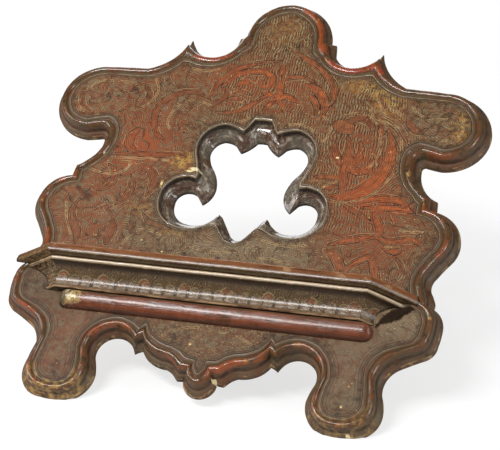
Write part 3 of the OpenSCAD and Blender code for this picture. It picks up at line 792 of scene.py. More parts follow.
@dataclass(frozen=True)
class Wash:
    """A soft oval where the old paint leans to red, ochre or grey."""

    x: float
    y: float
    across: float
    along: float
    warm: float = 0.0
    ochre: float = 0.0
    grey: float = 0.0


WASHES = (
    Wash(10, 160, 62, 34, warm=0.55), Wash(112, 70, 44, 62, warm=0.7),
    Wash(140, 30, 40, 16, warm=0.6), Wash(140, -22, 48, 34, warm=0.55),
    Wash(-110, 78, 44, 36, warm=0.75), Wash(-60, 170, 50, 26, warm=0.35),
    Wash(-76, 58, 16, 12, ochre=1.0), Wash(-62, 64, 14, 9, ochre=0.7),
    Wash(-104, -2, 26, 10, ochre=0.6), Wash(-60, -24, 22, 10, ochre=0.55),
    Wash(0, 236, 34, 34, ochre=0.55), Wash(126, 150, 26, 26, ochre=0.7),
    Wash(100, 172, 40, 12, ochre=0.8), Wash(-140, 150, 34, 20, ochre=0.35),
    Wash(205, 130, 12, 30, ochre=0.8), Wash(30, -38, 62, 20, grey=1.0),
    Wash(-20, -44, 40, 12, grey=0.7), Wash(-100, -40, 60, 14, grey=0.3),
    Wash(-141, -150, 34, 66, warm=0.15, grey=0.6), Wash(141, -150, 40, 70, warm=0.05, grey=0.9),
    Wash(-150, -36, 40, 24, warm=0.3), Wash(-140, -4, 12, 14, grey=0.9),
    Wash(-150, 20, 30, 26, warm=0.15), Wash(175, 132, 30, 22, grey=0.35, ochre=0.2),
    Wash(0, -146, 60, 22, grey=0.25, ochre=0.15), Wash(185, -90, 26, 34, grey=0.9),
    Wash(-185, -100, 26, 30, grey=0.6), Wash(-190, 136, 30, 24, grey=0.35),
)


@dataclass(frozen=True)
class Chip:
    """A place where the lacquer is lost and the gesso shows."""

    x: float
    y: float
    across: float
    along: float
    depth: float = 1.0


CHIPS = (
    Chip(-57, 51.5, 6, 2.2), Chip(-63, 48.5, 4, 1.4), Chip(-88.5, 30, 1.4, 4.6, 0.6),
    Chip(86, 81, 1.8, 1.3), Chip(79, 45, 1.3, 1.0, 0.8), Chip(-142, 41, 1.0, 0.8, 0.8),
    Chip(152, -214, 2.4, 1.6, 0.8), Chip(15, -177, 2.6, 2.8, 0.8), Chip(110, -35, 1.0, 0.8, 0.8),
    Chip(-141, -38, 1.0, 0.9), Chip(-92, -38, 1.1, 0.8), Chip(-68, -49, 1.3, 0.9),
    Chip(66, -163, 1.6, 1.8, 0.7), Chip(-14, -147, 1.8, 1.6, 0.7), Chip(146, -170, 0.9, 1.5, 0.8),
    Chip(143, -192, 1.4, 1.7, 0.7), Chip(-160, 62, 1.2, 3, 0.7), Chip(-62, 112, 1.0, 0.8, 0.8),
)


@dataclass(frozen=True)
class Ornament:
    """Works out the painter's marks at points of the field."""

    leaf_margin: float = 12.0
    line_margin: float = 6.0

    def drawn(self, points: Array) -> Dict[str, Array]:
        """Distances to the painted shapes.

        A leaf's distance is that to its centre line less its half width there, so it is negative
        inside. The nearest leaf also gives its tone.

        Args:
            points: rows of x, y in millimetres.

        Returns:
            leaf, tone, line and the distance to the right return's painted shadow for each point.
        """
        leaf = np.full(len(points), self.leaf_margin)
        tone = np.full(len(points), 0.5)
        for stroke in STROKES:
            reach, near = self.near(points, stroke.samples(), self.leaf_margin)
            closer = near < leaf[reach]
            picked = np.flatnonzero(reach)[closer]
            leaf[picked] = near[closer]
            tone[picked] = stroke.tone
        return {"leaf": leaf, "tone": tone, "line": self.nearest(points, LINES),
                "return_shadow": self.nearest(points, RETURN_SHADOW)}

    def nearest(self, points: Array, strokes: Sequence[Stroke]) -> Array:
        """Distance to the nearest stroke, at most the line margin and negative inside."""
        nearest = np.full(len(points), self.line_margin)
        for stroke in strokes:
            reach, near = self.near(points, stroke.samples(), self.line_margin)
            nearest[reach] = np.minimum(nearest[reach], near)
        return nearest

    def near(self, points: Array, way: Array, margin: float) -> Tuple[Array, Array]:
        """Points within a margin of a curve's box, and their distance to its widened line."""
        low, high = way[:, :2].min(0) - margin, way[:, :2].max(0) + margin
        reach = ((points >= low) & (points <= high)).all(1)
        start, line = way[:-1, :2], np.diff(way[:, :2], axis=0)
        width, widen = way[:-1, 2], np.diff(way[:, 2])
        gap = points[reach][:, None, :] - start
        t = np.clip((gap * line).sum(2) / np.maximum((line ** 2).sum(1), 1e-9), 0, 1)
        off = np.sqrt(((gap - t[..., None] * line) ** 2).sum(2)) - (width + t * widen)
        return reach, off.min(1)

    def washed(self, points: Array) -> Dict[str, Array]:
        """Sum of the soft ovals, each exp(-(dx / across)^2 - (dy / along)^2) times its strength."""
        total = {name: np.zeros(len(points)) for name in ("warm", "ochre", "grey")}
        for wash in WASHES:
            fall = np.exp(-((points[:, 0] - wash.x) / wash.across) ** 2
                          - ((points[:, 1] - wash.y) / wash.along) ** 2)
            for name in total:
                total[name] += getattr(wash, name) * fall
        return {name: np.clip(value, 0, 1) for name, value in total.items()}

    def chipped(self, points: Array) -> Array:
        """How deep a point lies in a chip: 1 at its middle, 0 at its rim, negative outside."""
        deepest = np.full(len(points), -1.0)
        for chip in CHIPS:
            off = np.hypot((points[:, 0] - chip.x) / chip.across,
                           (points[:, 1] - chip.y) / chip.along)
            deepest = np.maximum(deepest, chip.depth * np.clip(1.35 - off, -1, 1))
        return deepest


# ---------------------------------------------------------------- finishes


class Zone(Enum):
    """Surfaces of the reading panel."""

    FIELD = 0
    EDGE = 1
    SCOOP = 2
    BACK = 3


class Grain(Enum):
    """Direction that wood grain runs in, as a turn of the object's coordinates."""

    ACROSS = (0.0, 0.0, 0.0)
    DOWN_LEG = (math.radians(100.4), 0.0, math.radians(90))


@dataclass(frozen=True)
class FieldLacquer:
    """Painted field: mottled ground, hatched ochre dashes, worn red leaves and engraved lines."""

    dark: Colour = srgb(38, 27, 19)
    ground: Colour = srgb(124, 82, 50)
    olive: Colour = srgb(110, 96, 70)
    glaze: Colour = srgb(140, 70, 36)
    leaf_dull: Colour = srgb(122, 62, 36)
    leaf_bright: Colour = srgb(186, 90, 36)
    dash: Colour = srgb(178, 148, 100)
    grey: Colour = srgb(122, 108, 86)
    gold: Colour = srgb(196, 148, 62)
    gesso: Colour = srgb(222, 206, 160)
    scroll_x: float = 104.0
    scroll_y: float = 86.0
    upright_pitch: float = 2.8
    curved_pitch: float = 2.6
    patch_pitch: float = 2.3
    vein_pitch: float = 2.1

    def hatching(self, g: Graph, x: Sock, y: Sock) -> Sock:
        """Fine engraved lines, -1 to 1: upright, round the scroll, or turned patch by patch."""
        sway, jog = g.noise(16, 2).swing(9), g.noise(7, 2).swing(7)
        upright = (x + sway).wave(self.upright_pitch)
        upright = upright * (y + sway * 0.8 + jog).wave(7.5).step(-1.0, -0.55)
        reach = g.reach(x - self.scroll_x, y - self.scroll_y)
        curved = (reach + sway * 0.5).wave(self.curved_pitch)
        curved = curved * (x * 0.7 + y * 0.7 + sway).wave(10).step(-0.8, 0.2)
        turn = g.cells(17, "Color") * 9.0
        ahead_x, ahead_y = turn.cosine(), turn.sine()
        patches = (x * ahead_x + y * ahead_y + sway * 0.9 + jog * 0.4).wave(self.patch_pitch)
        patches = patches * (y * ahead_x - x * ahead_y + sway + jog).wave(9.0).step(-1.0, -0.2)
        round_scroll = reach.step(34, 42) * reach.step(66, 56) * x.step(104, 124)
        borders = x.step(-34, -74) + y.step(2, -14) + x.step(142, 156)
        wild = (borders + g.noise(24, 3).step(0.52, 0.58) * 0.7).clip() * (1 - round_scroll)
        ordered = upright * (1 - round_scroll) + curved * round_scroll
        return ordered * (1 - wild) + patches * wild * (0.62 - y.step(-90, -120) * 0.2)

    def material(self, name: str) -> bpy.types.Material:
        """Builds the field's material from the marks kept on its vertices."""
        g = Graph.of_material(name)
        x, y = g.across(), g.up_slope()
        leaf, tone, line = g.attributes("leaf", "tone", "line")
        warm, ochre, grey = g.attributes("warm", "ochre", "grey")
        border, chip, return_shadow_reach = g.attributes("border", "chip", "return_shadow")
        broad, cloudy, patch = g.noise(46, 4), g.noise(11, 4, 0.62), g.noise(5.5, 4, 0.68, 0.6)
        fine, grit, wear_and_sheen = g.noise(2.4, 4, 0.7), g.noise(0.9, 3, 0.8), g.noise(17, 3, 0.6)
        feet = y.step(-100, -125)
        calm = feet * 0.16
        left = x.step(-90, -130) * y.step(-100, -60)
        below_left = x.step(-120, -150) * y.band(-108, 22, 16)
        reddened = warm * 1.3 + broad * 0.9 - 0.5 + feet * 0.12 + left * 0.35

        # leaves: an uneven fill, a vein pattern inside and a broken outline
        edge = leaf + 0.5 + cloudy.swing(3.0) + fine.swing(2.4)
        fill = edge.step(1.2, -1.8) * (0.1 + (patch * 2.4 + wear_and_sheen * 1.3 - 1.5).clip() * 0.95)
        red = g.blend(self.leaf_dull, self.leaf_bright, tone * (patch * 1.1 + broad * 0.7 - 0.2))
        vein = (leaf + cloudy.swing(1.2)).wave(self.vein_pitch).step(0.2, 0.9)
        vein = vein * leaf.step(0.3, -0.4)
        rim = leaf + g.noise(9, 3).swing(1.1)
        here, there = g.noise(13, 2).step(0.42, 0.5), g.noise(15, 2).step(0.5, 0.42)
        cut = (rim.band(0.2, 0.16, 0.32) * here).most(
            (rim + 2.0).band(0.0, 0.1, 0.28) * there * 0.8)
        beside_leaf = rim.band(1.05, 0.12, 0.3) * there
        drawn = (line + fine.swing(0.5)).step(0.55, 0.2) * wear_and_sheen.step(0.34, 0.44)
        beside_line = line.band(0.95, 0.15, 0.3) * cloudy.step(0.4, 0.52)

        # hatching and swirls of the bare ground
        hatch = self.hatching(g, x, y)
        bare = 1 - edge.step(0.6, -0.8) * 0.72
        strength = (0.56 + ochre * 0.5 + grey * 0.2 - calm - warm * 0.12) * bare
        dashes = hatch.step(0.25, 0.85) * (patch * 2.6 - 0.75 + fine.swing(1.2)).clip() * strength
        dashes = dashes.clip()
        gaps = (hatch.step(-0.15, -0.85) * (cloudy * 2.2 - 0.5 - calm) * bare).clip()
        swirls = (g.noise(34, 1.5, 0.4) * 66).sine().step(0.78, 0.97) * wear_and_sheen.step(0.44, 0.54)
        outlying = (x.step(-20, -60) + y.step(-10, -30) + x.step(140, 160)).clip()
        swirls = swirls * outlying * (1 - feet) * bare

        # dots, gilding, edge contours and losses
        dotted = (grey * y.step(-110, -70) + feet * x.band(0, 58, 8) * 0.8).clip()
        gilt = (ochre * 1.2 - 0.35).clip() * g.noise(5, 3, 0.7).step(0.45, 0.62)
        # painted shadow that the right return casts on the field, mottled at its rim
        return_shadow = (return_shadow_reach + g.noise(5, 4, 0.75).swing(8.0) + 0.5).step(0.9, -1.2) * 0.95
        near_edge = (border + cloudy.swing(5)).step(5.0, 0.5)
        contour = (border + g.noise(12, 2).swing(1.2)).wave(3.0).step(0.6, 0.97)
        flecks = g.specks(4.3, 0.12) * g.noise(23, 2).step(0.48, 0.6) * 0.8
        lost = (chip + fine.swing(0.9)).step(0.3, 0.5)
        fringe = (chip + fine.swing(1.1)).step(-0.05, 0.3)

        colour = g.layered(
            self.dark,
            (self.ground, cloudy * 1.9 - 0.3 + fine.swing(1.7)),
            (self.olive, patch.step(0.46, 0.6) * (0.8 - warm * 0.5)),
            (self.grey, grey * 0.7 * cloudy.step(0.25, 0.6)),
            (self.dark, g.noise(13, 4, 0.65).step(0.46, 0.3) * (0.6 + left * 0.35)),
            (self.glaze, reddened * patch.step(0.66, 0.42) * 0.9),
            (red, fill * (0.4 + tone * 0.6)),
            (self.dark, vein * (0.24 + fine * 0.3)),
            (self.dark, gaps),
            (self.dash, dashes),
            (self.dark, swirls * 0.55),
            (self.dark, cut * (0.6 + tone * 0.35)),
            (self.dark, drawn * 0.72),
            (self.dash, beside_line.most(beside_leaf) * 0.6),
            (self.dash, g.specks(2.4, 0.36) * dotted * 0.5),
            (self.gold, gilt * 0.65),
            (self.dark, near_edge * 0.35),
            (self.dark, contour * feet * border.step(9, 6) * 0.55),
            (self.gesso, flecks),
            (self.gold, fringe * 0.6),
            (self.gesso, lost),
        )
        colour = g.blend(g.toned(colour, 0.55 + grit * 0.9), self.dark, return_shadow * (0.8 + patch * 0.4))
        colour = g.toned(colour, 1.0 - (feet * 0.17).most(below_left * 0.3))
        rough = 0.5 + cloudy.swing(0.3) + lost * 0.35 - fill * 0.06
        height = (fill * 0.2 - cut - drawn * 0.8 + dashes * 0.7 - gaps * 0.6
                  + fine.swing(0.7) + grit.swing(0.5) - lost * 1.4)
        # the painted shadow is also made metallic, so that it stays dark
        return g.finish(colour, rough, height, depth=0.34, specular=0.25, metal=return_shadow * 0.85)


@dataclass(frozen=True)
class EdgeLacquer:
    """Moulded edge: grey-green flat, brown round with red places, dark hollows, pale worn rim."""

    flat: Colour = srgb(92, 75, 52)
    light: Colour = srgb(182, 160, 116)
    red: Colour = srgb(156, 72, 32)
    crimson: Colour = srgb(128, 30, 34)
    brown: Colour = srgb(100, 58, 33)
    olive: Colour = srgb(88, 68, 42)
    deep: Colour = srgb(24, 16, 11)
    flank: Colour = srgb(92, 74, 52)
    gold: Colour = srgb(180, 142, 80)
    gesso: Colour = srgb(214, 198, 152)

    def material(self, name: str) -> bpy.types.Material:
        """Builds the edge's material from its share of the way across and its way round."""
        g = Graph.of_material(name)
        x, y = g.across(), g.up_slope()
        cloudy, fine, broad = g.noise(9, 4, 0.6), g.noise(1.9, 4, 0.7), g.noise(42, 3)
        way, plain, chip = g.attributes("way", "share", "chip")
        streaks = g.streaks(way / 16, plain * 9, x / 50, 0.3)
        share = plain + cloudy.swing(0.03)

        # the round: brown and olive, red low down, at the top and beside the notches
        low_down = y.step(-105, -128) * abs(x).step(168, 145)
        apex = x.band(34, 18, 10) * y.step(205, 214)
        notches = y.band(188, 9, 8) * (x.band(82, 26, 12) + x.band(-70, 22, 10) * 0.7)
        reddish = broad * 2.6 + cloudy * 1.1 - 1.85 + low_down * 0.28 + apex * 0.8 + notches * 0.7
        crown = g.layered(
            self.olive,
            (self.brown, (streaks * 1.6 + cloudy - 1.0).step(0.1, 0.6)),
            (self.red, reddish.step(0.1, 0.6) * 0.66),
            (self.crimson, notches * cloudy.step(0.45, 0.6) * 0.5),
            (self.deep, cloudy.step(0.5, 0.3) * 0.6 + streaks.step(0.42, 0.3) * 0.5),
        )

        # the flank outside the round, with its thin rim
        outer, thin = share.step(0.64, 0.74), share.step(0.9, 0.95)
        face = g.layered(
            self.flank,
            (self.brown, (streaks * 1.2 + broad - 0.8).step(0.15, 0.6)),
            (self.deep, cloudy.step(0.46, 0.34) * 0.5),
        )
        foot = y.step(-178, -206) * (x.step(-80, -110) + x.step(80, 110) * 0.55)
        gilt = (foot * g.noise(6, 4, 0.7).step(0.44, 0.6)).clip()
        rubbed = g.noise(12, 4, 0.66).step(0.6, 0.68) * (share.band(0.45, 0.07, 0.08) + thin)
        lost = (chip + fine.swing(0.8)).step(0.25, 0.45)

        colour = g.layered(
            self.flat,
            (self.brown, streaks.step(0.45, 0.65)),
            (self.light, share.band(0.088, 0.006, 0.013) * (cloudy * 2.2 - 0.75)),
            (self.deep, share.band(0.052, 0.012, 0.014) * 0.85),
            (crown, share.step(0.29, 0.33) * share.step(0.7, 0.64)),
            (face, outer),
            (self.deep, share.band(0.715, 0.01, 0.04) * cloudy.step(0.35, 0.6) * 0.55),
            (self.light, thin * streaks.step(0.52, 0.66) * 0.6),
            (self.gold, gilt * 0.6),
            (self.gold, rubbed * 0.6),
            (self.deep, fine.step(0.44, 0.25) * 0.45),
            (self.gesso, lost),
        )
        colour = g.toned(colour, 0.72 + g.noise(1.0, 3, 0.75) * 0.56)
        shy = (share.step(0.3, 0.2) + outer * 1.1).clip()
        rough = 0.23 + cloudy.swing(0.2) + streaks.swing(0.15) + lost * 0.4 + shy * 0.27
        height = fine.swing(0.5) + cloudy.swing(1.3) + streaks.swing(0.7) - lost
        return g.finish(colour, rough, height, depth=0.55, specular=0.45,
                        coat=0.8 - shy * 0.72, coat_rough=0.08)


@dataclass(frozen=True)
class ScoopLacquer:
    """Smooth, shiny grey-brown of the scooped opening, with a pale lip next to the field and
    painted highlight patches.
    """

    base: Colour = srgb(96, 86, 72)
    warm: Colour = srgb(84, 60, 46)
    pale: Colour = srgb(176, 164, 142)
    deep: Colour = srgb(32, 24, 19)
    lip: Colour = srgb(150, 128, 98)
    gesso: Colour = srgb(222, 208, 166)

    def material(self, name: str) -> bpy.types.Material:
        """Builds the opening's material from its share of the way across and its way round."""
        g = Graph.of_material(name)
        cloudy, fine, broad = g.noise(10, 4, 0.6), g.noise(1.8, 4, 0.7), g.noise(22, 3)
        way, plain, chip = g.attributes("way", "share", "chip")
        streaks = g.streaks(way / 9, plain * 4, g.across() / 30, 0.4)
        share = plain + cloudy.swing(0.02)
        # painted highlight: pale patches on the middle of the scoop, where its sheen shows
        wear_and_sheen = share.band(0.5, 0.1, 0.16) * g.noise(8, 3, 0.6).step(0.5, 0.66)
        lost = (chip + fine.swing(0.8)).step(0.25, 0.45)
        colour = g.layered(
            self.base,
            (self.warm, broad.step(0.42, 0.58)),
            (self.pale, streaks.step(0.52, 0.7) * 0.55),
            (self.pale, wear_and_sheen * 0.6),
            (self.deep, streaks.step(0.44, 0.3) * 0.6),
            (self.deep, share.band(0.23, 0.02, 0.05) * 0.8),
            (self.deep, share.step(0.88, 1.0) * 0.55),
            (self.lip, share.band(0.13, 0.05, 0.03) * (0.35 + streaks * 0.7)),
            (self.deep, share.band(0.048, 0.013, 0.014) * 0.85),
            (self.pale, share.step(0.03, 0.015) * cloudy.step(0.4, 0.6) * 0.7),
            (self.deep, fine.step(0.42, 0.22) * 0.5),
            (self.gesso, lost),
        )
        rough = 0.17 + cloudy.swing(0.14) + streaks.swing(0.1) + lost * 0.4
        height = fine.swing(0.35) + cloudy.swing(3.0) + streaks.swing(1.2) - lost
        return g.finish(colour, rough, height, depth=0.6, specular=0.6, coat=0.9, coat_rough=0.08)


@dataclass(frozen=True)
class MouldingLacquer:
    """Ledge moulding: orange-brown bead, pale shiny fillet, hatched cove with small red domes,
    painted highlights and shade.
    """

    crown: Colour = srgb(142, 88, 54)
    painted_highlight: Colour = srgb(206, 140, 88)
    olive: Colour = srgb(104, 84, 54)
    umber: Colour = srgb(84, 54, 34)
    pale: Colour = srgb(178, 152, 116)
    deep: Colour = srgb(24, 17, 11)
    cove: Colour = srgb(74, 57, 36)
    cut: Colour = srgb(150, 128, 88)
    dome: Colour = srgb(132, 66, 40)
    low: Colour = srgb(118, 94, 68)
    gold: Colour = srgb(174, 142, 104)
    lean_pitch: float = 2.7
    cross_pitch: float = 2.5
    hatch_end: float = 27.0
    dome_half_pitch: float = 21.0
    dome_start: float = 399.0
    dome_drop: float = 26.4
    scallop_half_pitch: float = 6.2
    scallop_start: float = 395.5
    scallop_drop: float = 28.6

    def material(self, name: str) -> bpy.types.Material:
        """Builds the moulding's material from the drop below its top and the run along it."""
        g = Graph.of_material(name)
        x = g.across()
        drop, run, back, free = g.attributes("drop", "run", "back", "rest")
        cloudy, fine, broad = g.noise(9, 4, 0.62), g.noise(1.7, 4, 0.7), g.noise(34, 3)
        streaks = g.streaks(run / 22, drop / 2.2, broad, 0.2)
        crown = g.layered(
            self.umber,
            (self.crown, streaks * 1.1 + broad * 0.5 - 0.25),
            (self.deep, streaks.step(0.46, 0.32) * 0.45),
            # painted highlight along the bead's top arris
            (self.painted_highlight, drop.band(1.3, 0.3, 0.6) * cloudy.step(0.4, 0.6) * 0.5),
        )
        fillet = drop.band(13.0, 1.8, 0.3)

        # hatching of the cove, leaning one way or the other
        inner = drop.step(14.9, 15.3) * drop.step(36.2, 35.9)
        bent = run + g.noise(14, 2).swing(2.5)
        curl = g.noise(6, 2).swing(9.0)
        other_way = g.cells(11, "Color").step(0.5, 0.55)
        leaning = (bent + drop * 0.75 + curl).wave(self.lean_pitch)
        lean = leaning.step(0.3, 0.85) * cloudy.step(0.35, 0.5)
        cross = (bent - drop * 1.1 + curl).wave(self.cross_pitch)
        cross = cross.step(0.3, 0.85) * cloudy.step(0.3, 0.5)
        above_end = drop.step(self.hatch_end, 25.2)
        hatch = (lean * (1 - other_way) + cross * other_way) * drop.step(15.8, 18.5) * above_end
        dark_lines = leaning.step(-0.4, -0.9) * (1 - other_way) * drop.step(15.2, 16) * above_end
        lower = drop.step(25.6, 27.0) * inner

        # domes with an arch round each, and the row of scallops below them
        folded = (bent + self.dome_start).fold(self.dome_half_pitch)
        dome_off = g.reach(folded, (drop - self.dome_drop) * 1.15)
        upper = drop.step(26.6, 26.0)
        dome = dome_off.step(5.6, 4.8) * upper
        arch = dome_off.band(6.0, 0.3, 0.4) * upper
        small = (bent + self.scallop_start).fold(self.scallop_half_pitch)
        scallop = g.reach(small, drop - self.scallop_drop).band(5.0, 0.25, 0.4)
        scallop = scallop * drop.step(28.8, 28.0)
        breaks = (small + curl * 0.12).step(4.4, 5.2) * lower * drop.step(34.5, 33.5)
        breaks = breaks * g.noise(13, 2).step(0.4, 0.5)

        # the lip's underside, painted in deep shade
        under = drop.step(37.0, 37.45) * back.step(24.0, 24.6)
        rubbed = (g.noise(16, 4, 0.66) + x.step(20, 90) * 0.05).step(0.6, 0.67)
        rubbed = rubbed * (drop.step(7.2, 6.2) * 0.8 + fillet) * 0.6
        rest = free + cloudy.swing(3)
        left_side = rest.step(70, 60) * x.step(-140, -150)

        colour = g.layered(
            self.umber,
            (self.olive, streaks.step(0.42, 0.58)),
            (crown, drop.step(9.0, 5.0)),
            # painted shade in the quirk under the bead
            (self.deep, drop.step(9.3, 10.1) * drop.step(10.9, 10.5) * 0.25),
            (self.deep, drop.band(10.7, 0.5, 0.5) * 0.5),
            # fillet: partly its own pale paint and partly a painted highlight
            (self.pale, fillet * (0.45 + streaks * 0.9)),
            (g.blend(self.cove, self.umber, streaks.step(0.5, 0.68)), inner),
            (self.cut, hatch * (cloudy * 0.9 - 0.14)),
            (self.deep, dark_lines * (cloudy * 0.8 - 0.15)),
            # painted shade at the top of the cove, under the fillet
            (self.deep, drop.band(15.6, 0.5, 2.6) * 0.7),
            (self.low, lower * (0.45 + streaks * 0.6)),
            (self.dome, dome * inner * (cloudy * 1.3 - 0.25)),
            (self.cut, arch * inner * cloudy.step(0.36, 0.5) * 0.6),
            (self.cut, scallop * inner * cloudy.step(0.4, 0.55) * 0.5),
            (self.deep, breaks * 0.6),
            (self.deep, lower * g.noise(3.4, 4, 0.7).step(0.5, 0.38) * 0.45),
            (g.blend(self.umber, self.gold, streaks.step(0.4, 0.6) * 0.7), drop.step(35.7, 36.0)),
            (self.gold, rubbed),
            # fine dark specks, and painted shade on the lip's underside
            (self.deep, (fine.step(0.42, 0.24) * 0.5).most(under * 0.95)),
            (self.olive, left_side * g.noise(6, 3, 0.6).step(0.4, 0.55) * 0.7),
            (self.gold, left_side * g.noise(4, 3, 0.7).step(0.52, 0.64) * 0.4),
            (self.deep, left_side * (drop + curl * 0.1).wave(4.2).step(0.6, 0.95) * 0.6),
            # painted shade where a return meets the field
            (self.deep, rest.step(4.5, 1.0) * 0.8),
        )
        uneven = g.noise(5, 3, 0.6)
        rough = (0.25 + cloudy.swing(0.16) + streaks.swing(0.12) + under * 0.5
                 + uneven.step(0.5, 0.6) * lower * 0.3)
        height = (cloudy.swing(0.7) + fine.swing(0.5) + streaks.swing(0.5) + hatch * 0.7
                  - dark_lines * 0.5 + arch * 0.6 + dome * 0.3 - breaks * 1.2
                  + (1 - small * small / 38) * lower * drop.step(34, 31) * 1.1
                  + uneven.swing(2.0) * lower)
        return g.finish(colour, rough, height, depth=0.4, specular=0.4, coat=0.35, coat_rough=0.12)


@dataclass(frozen=True)
class RollLacquer:
    """Half round roll: worn red-brown with a chipped, gilded left end and painted shade on its
    lower side.
    """

    red: Colour = srgb(122, 62, 36)
    brown: Colour = srgb(72, 44, 28)
    olive: Colour = srgb(84, 68, 46)
    gold: Colour = srgb(168, 138, 80)
    gesso: Colour = srgb(214, 196, 148)
    deep: Colour = srgb(30, 22, 16)

    def material(self, name: str) -> bpy.types.Material:
        """Builds the roll's material, with grain drawn along the roll."""
        g = Graph.of_material(name)
        x = g.across()
        around, chip = g.attributes("around", "chip")
        streaks = g.noise(1.0, 4, 0.6, where=g.stretched((26.0, 3.0, 3.0), Grain.ACROSS))
        cloudy, fine = g.noise(13, 4, 0.6), g.noise(1.8, 4, 0.7)
        fringe = (chip + g.noise(7, 4, 0.7).swing(3.2)).step(0.1, 0.4)
        lost = (chip + g.noise(5, 4, 0.75).swing(3.8)).step(0.85, 1.0)
        rightward = x.step(-30, 110)
        colour = g.layered(
            self.brown,
            (self.red, streaks * 2.0 + cloudy * 1.6 - 1.3),
            (self.olive, around.step(0.62, 0.8) * (0.3 + streaks * 0.7)),
            # painted shade along the roll's lower side, where it meets the field
            (self.deep, around.step(-0.5, -0.95) * 0.6),
            (self.deep, fine.step(0.42, 0.24) * 0.5),
            (self.gold, fringe * (0.35 + fine * 0.8)),
            (self.gesso, lost * 0.7),
            (self.brown, g.noise(4, 4, 0.75).step(0.49, 0.38) * fringe * 0.85),
            (self.deep, x.step(-146, -151) * 0.75),
        )
        rough = (0.26 + cloudy.swing(0.3) + streaks.swing(0.2) + fringe * 0.3
                 + rightward * 0.06)
        height = (streaks.swing(1.0) + cloudy.swing(1.6) + fine.swing(0.3)
                  - fringe * 0.8 - lost * 0.6)
        return g.finish(colour, rough, height, depth=0.4, specular=0.35,
                        coat=0.32 - rightward * 0.06, coat_rough=0.12)


@dataclass(frozen=True)
class BareWood:
    """Old unpainted softwood: grain lines, darker stains and dirt in the pores."""

    light: Colour = srgb(150, 112, 74)
    mid: Colour = srgb(116, 82, 54)
    dark: Colour = srgb(70, 48, 33)
    grain: Grain = Grain.ACROSS
    stain: float = 0.35

    def material(self, name: str) -> bpy.types.Material:
        """Builds the wood's material."""
        g = Graph.of_material(name)
        where = g.stretched((22.0, 1.0, 1.0), self.grain)
        lines = g.noise(2.6, 4, 0.6, 0.6, where=where)
        pores = g.noise(0.7, 3, 0.6, where=where)
        broad, fine = g.noise(60, 4, 0.6), g.noise(1.4, 3)
        colour = g.layered(
            self.mid,
            (self.light, lines.step(0.38, 0.66)),
            (self.dark, pores.step(0.46, 0.3) * 0.6),
            (self.dark, broad.step(0.42, 0.7) * self.stain + self.stain * 0.4),
        )
        height = lines.swing(0.8) + pores.swing(0.6) + fine.swing(0.2)
        return g.finish(colour, 0.62 + lines.swing(0.3), height, depth=0.35, specular=0.35)


@dataclass(frozen=True)
class ForgedIron:
    """Dark hammered iron with a little rust."""

    base: Colour = srgb(62, 58, 56)
    rust: Colour = srgb(104, 66, 44)
    bright: Colour = srgb(120, 116, 112)

    def material(self, name: str) -> bpy.types.Material:
        """Builds the iron's material."""
        g = Graph.of_material(name)
        dents, fine, broad = g.noise(3.2, 2), g.noise(0.6, 4, 0.7), g.noise(9, 4, 0.65)
        rusty = broad.step(0.5, 0.64)
        colour = g.layered(
            self.base, (self.bright, dents.step(0.55, 0.75) * 0.5), (self.rust, rusty * 0.75))
        rough = 0.42 + fine.swing(0.3) + rusty * 0.3
        height = dents.swing(1.2) + fine.swing(0.4)
        return g.finish(colour, rough, height, depth=0.3, metal=(0.85 - rusty * 0.7).clip())


# ---------------------------------------------------------------- pieces


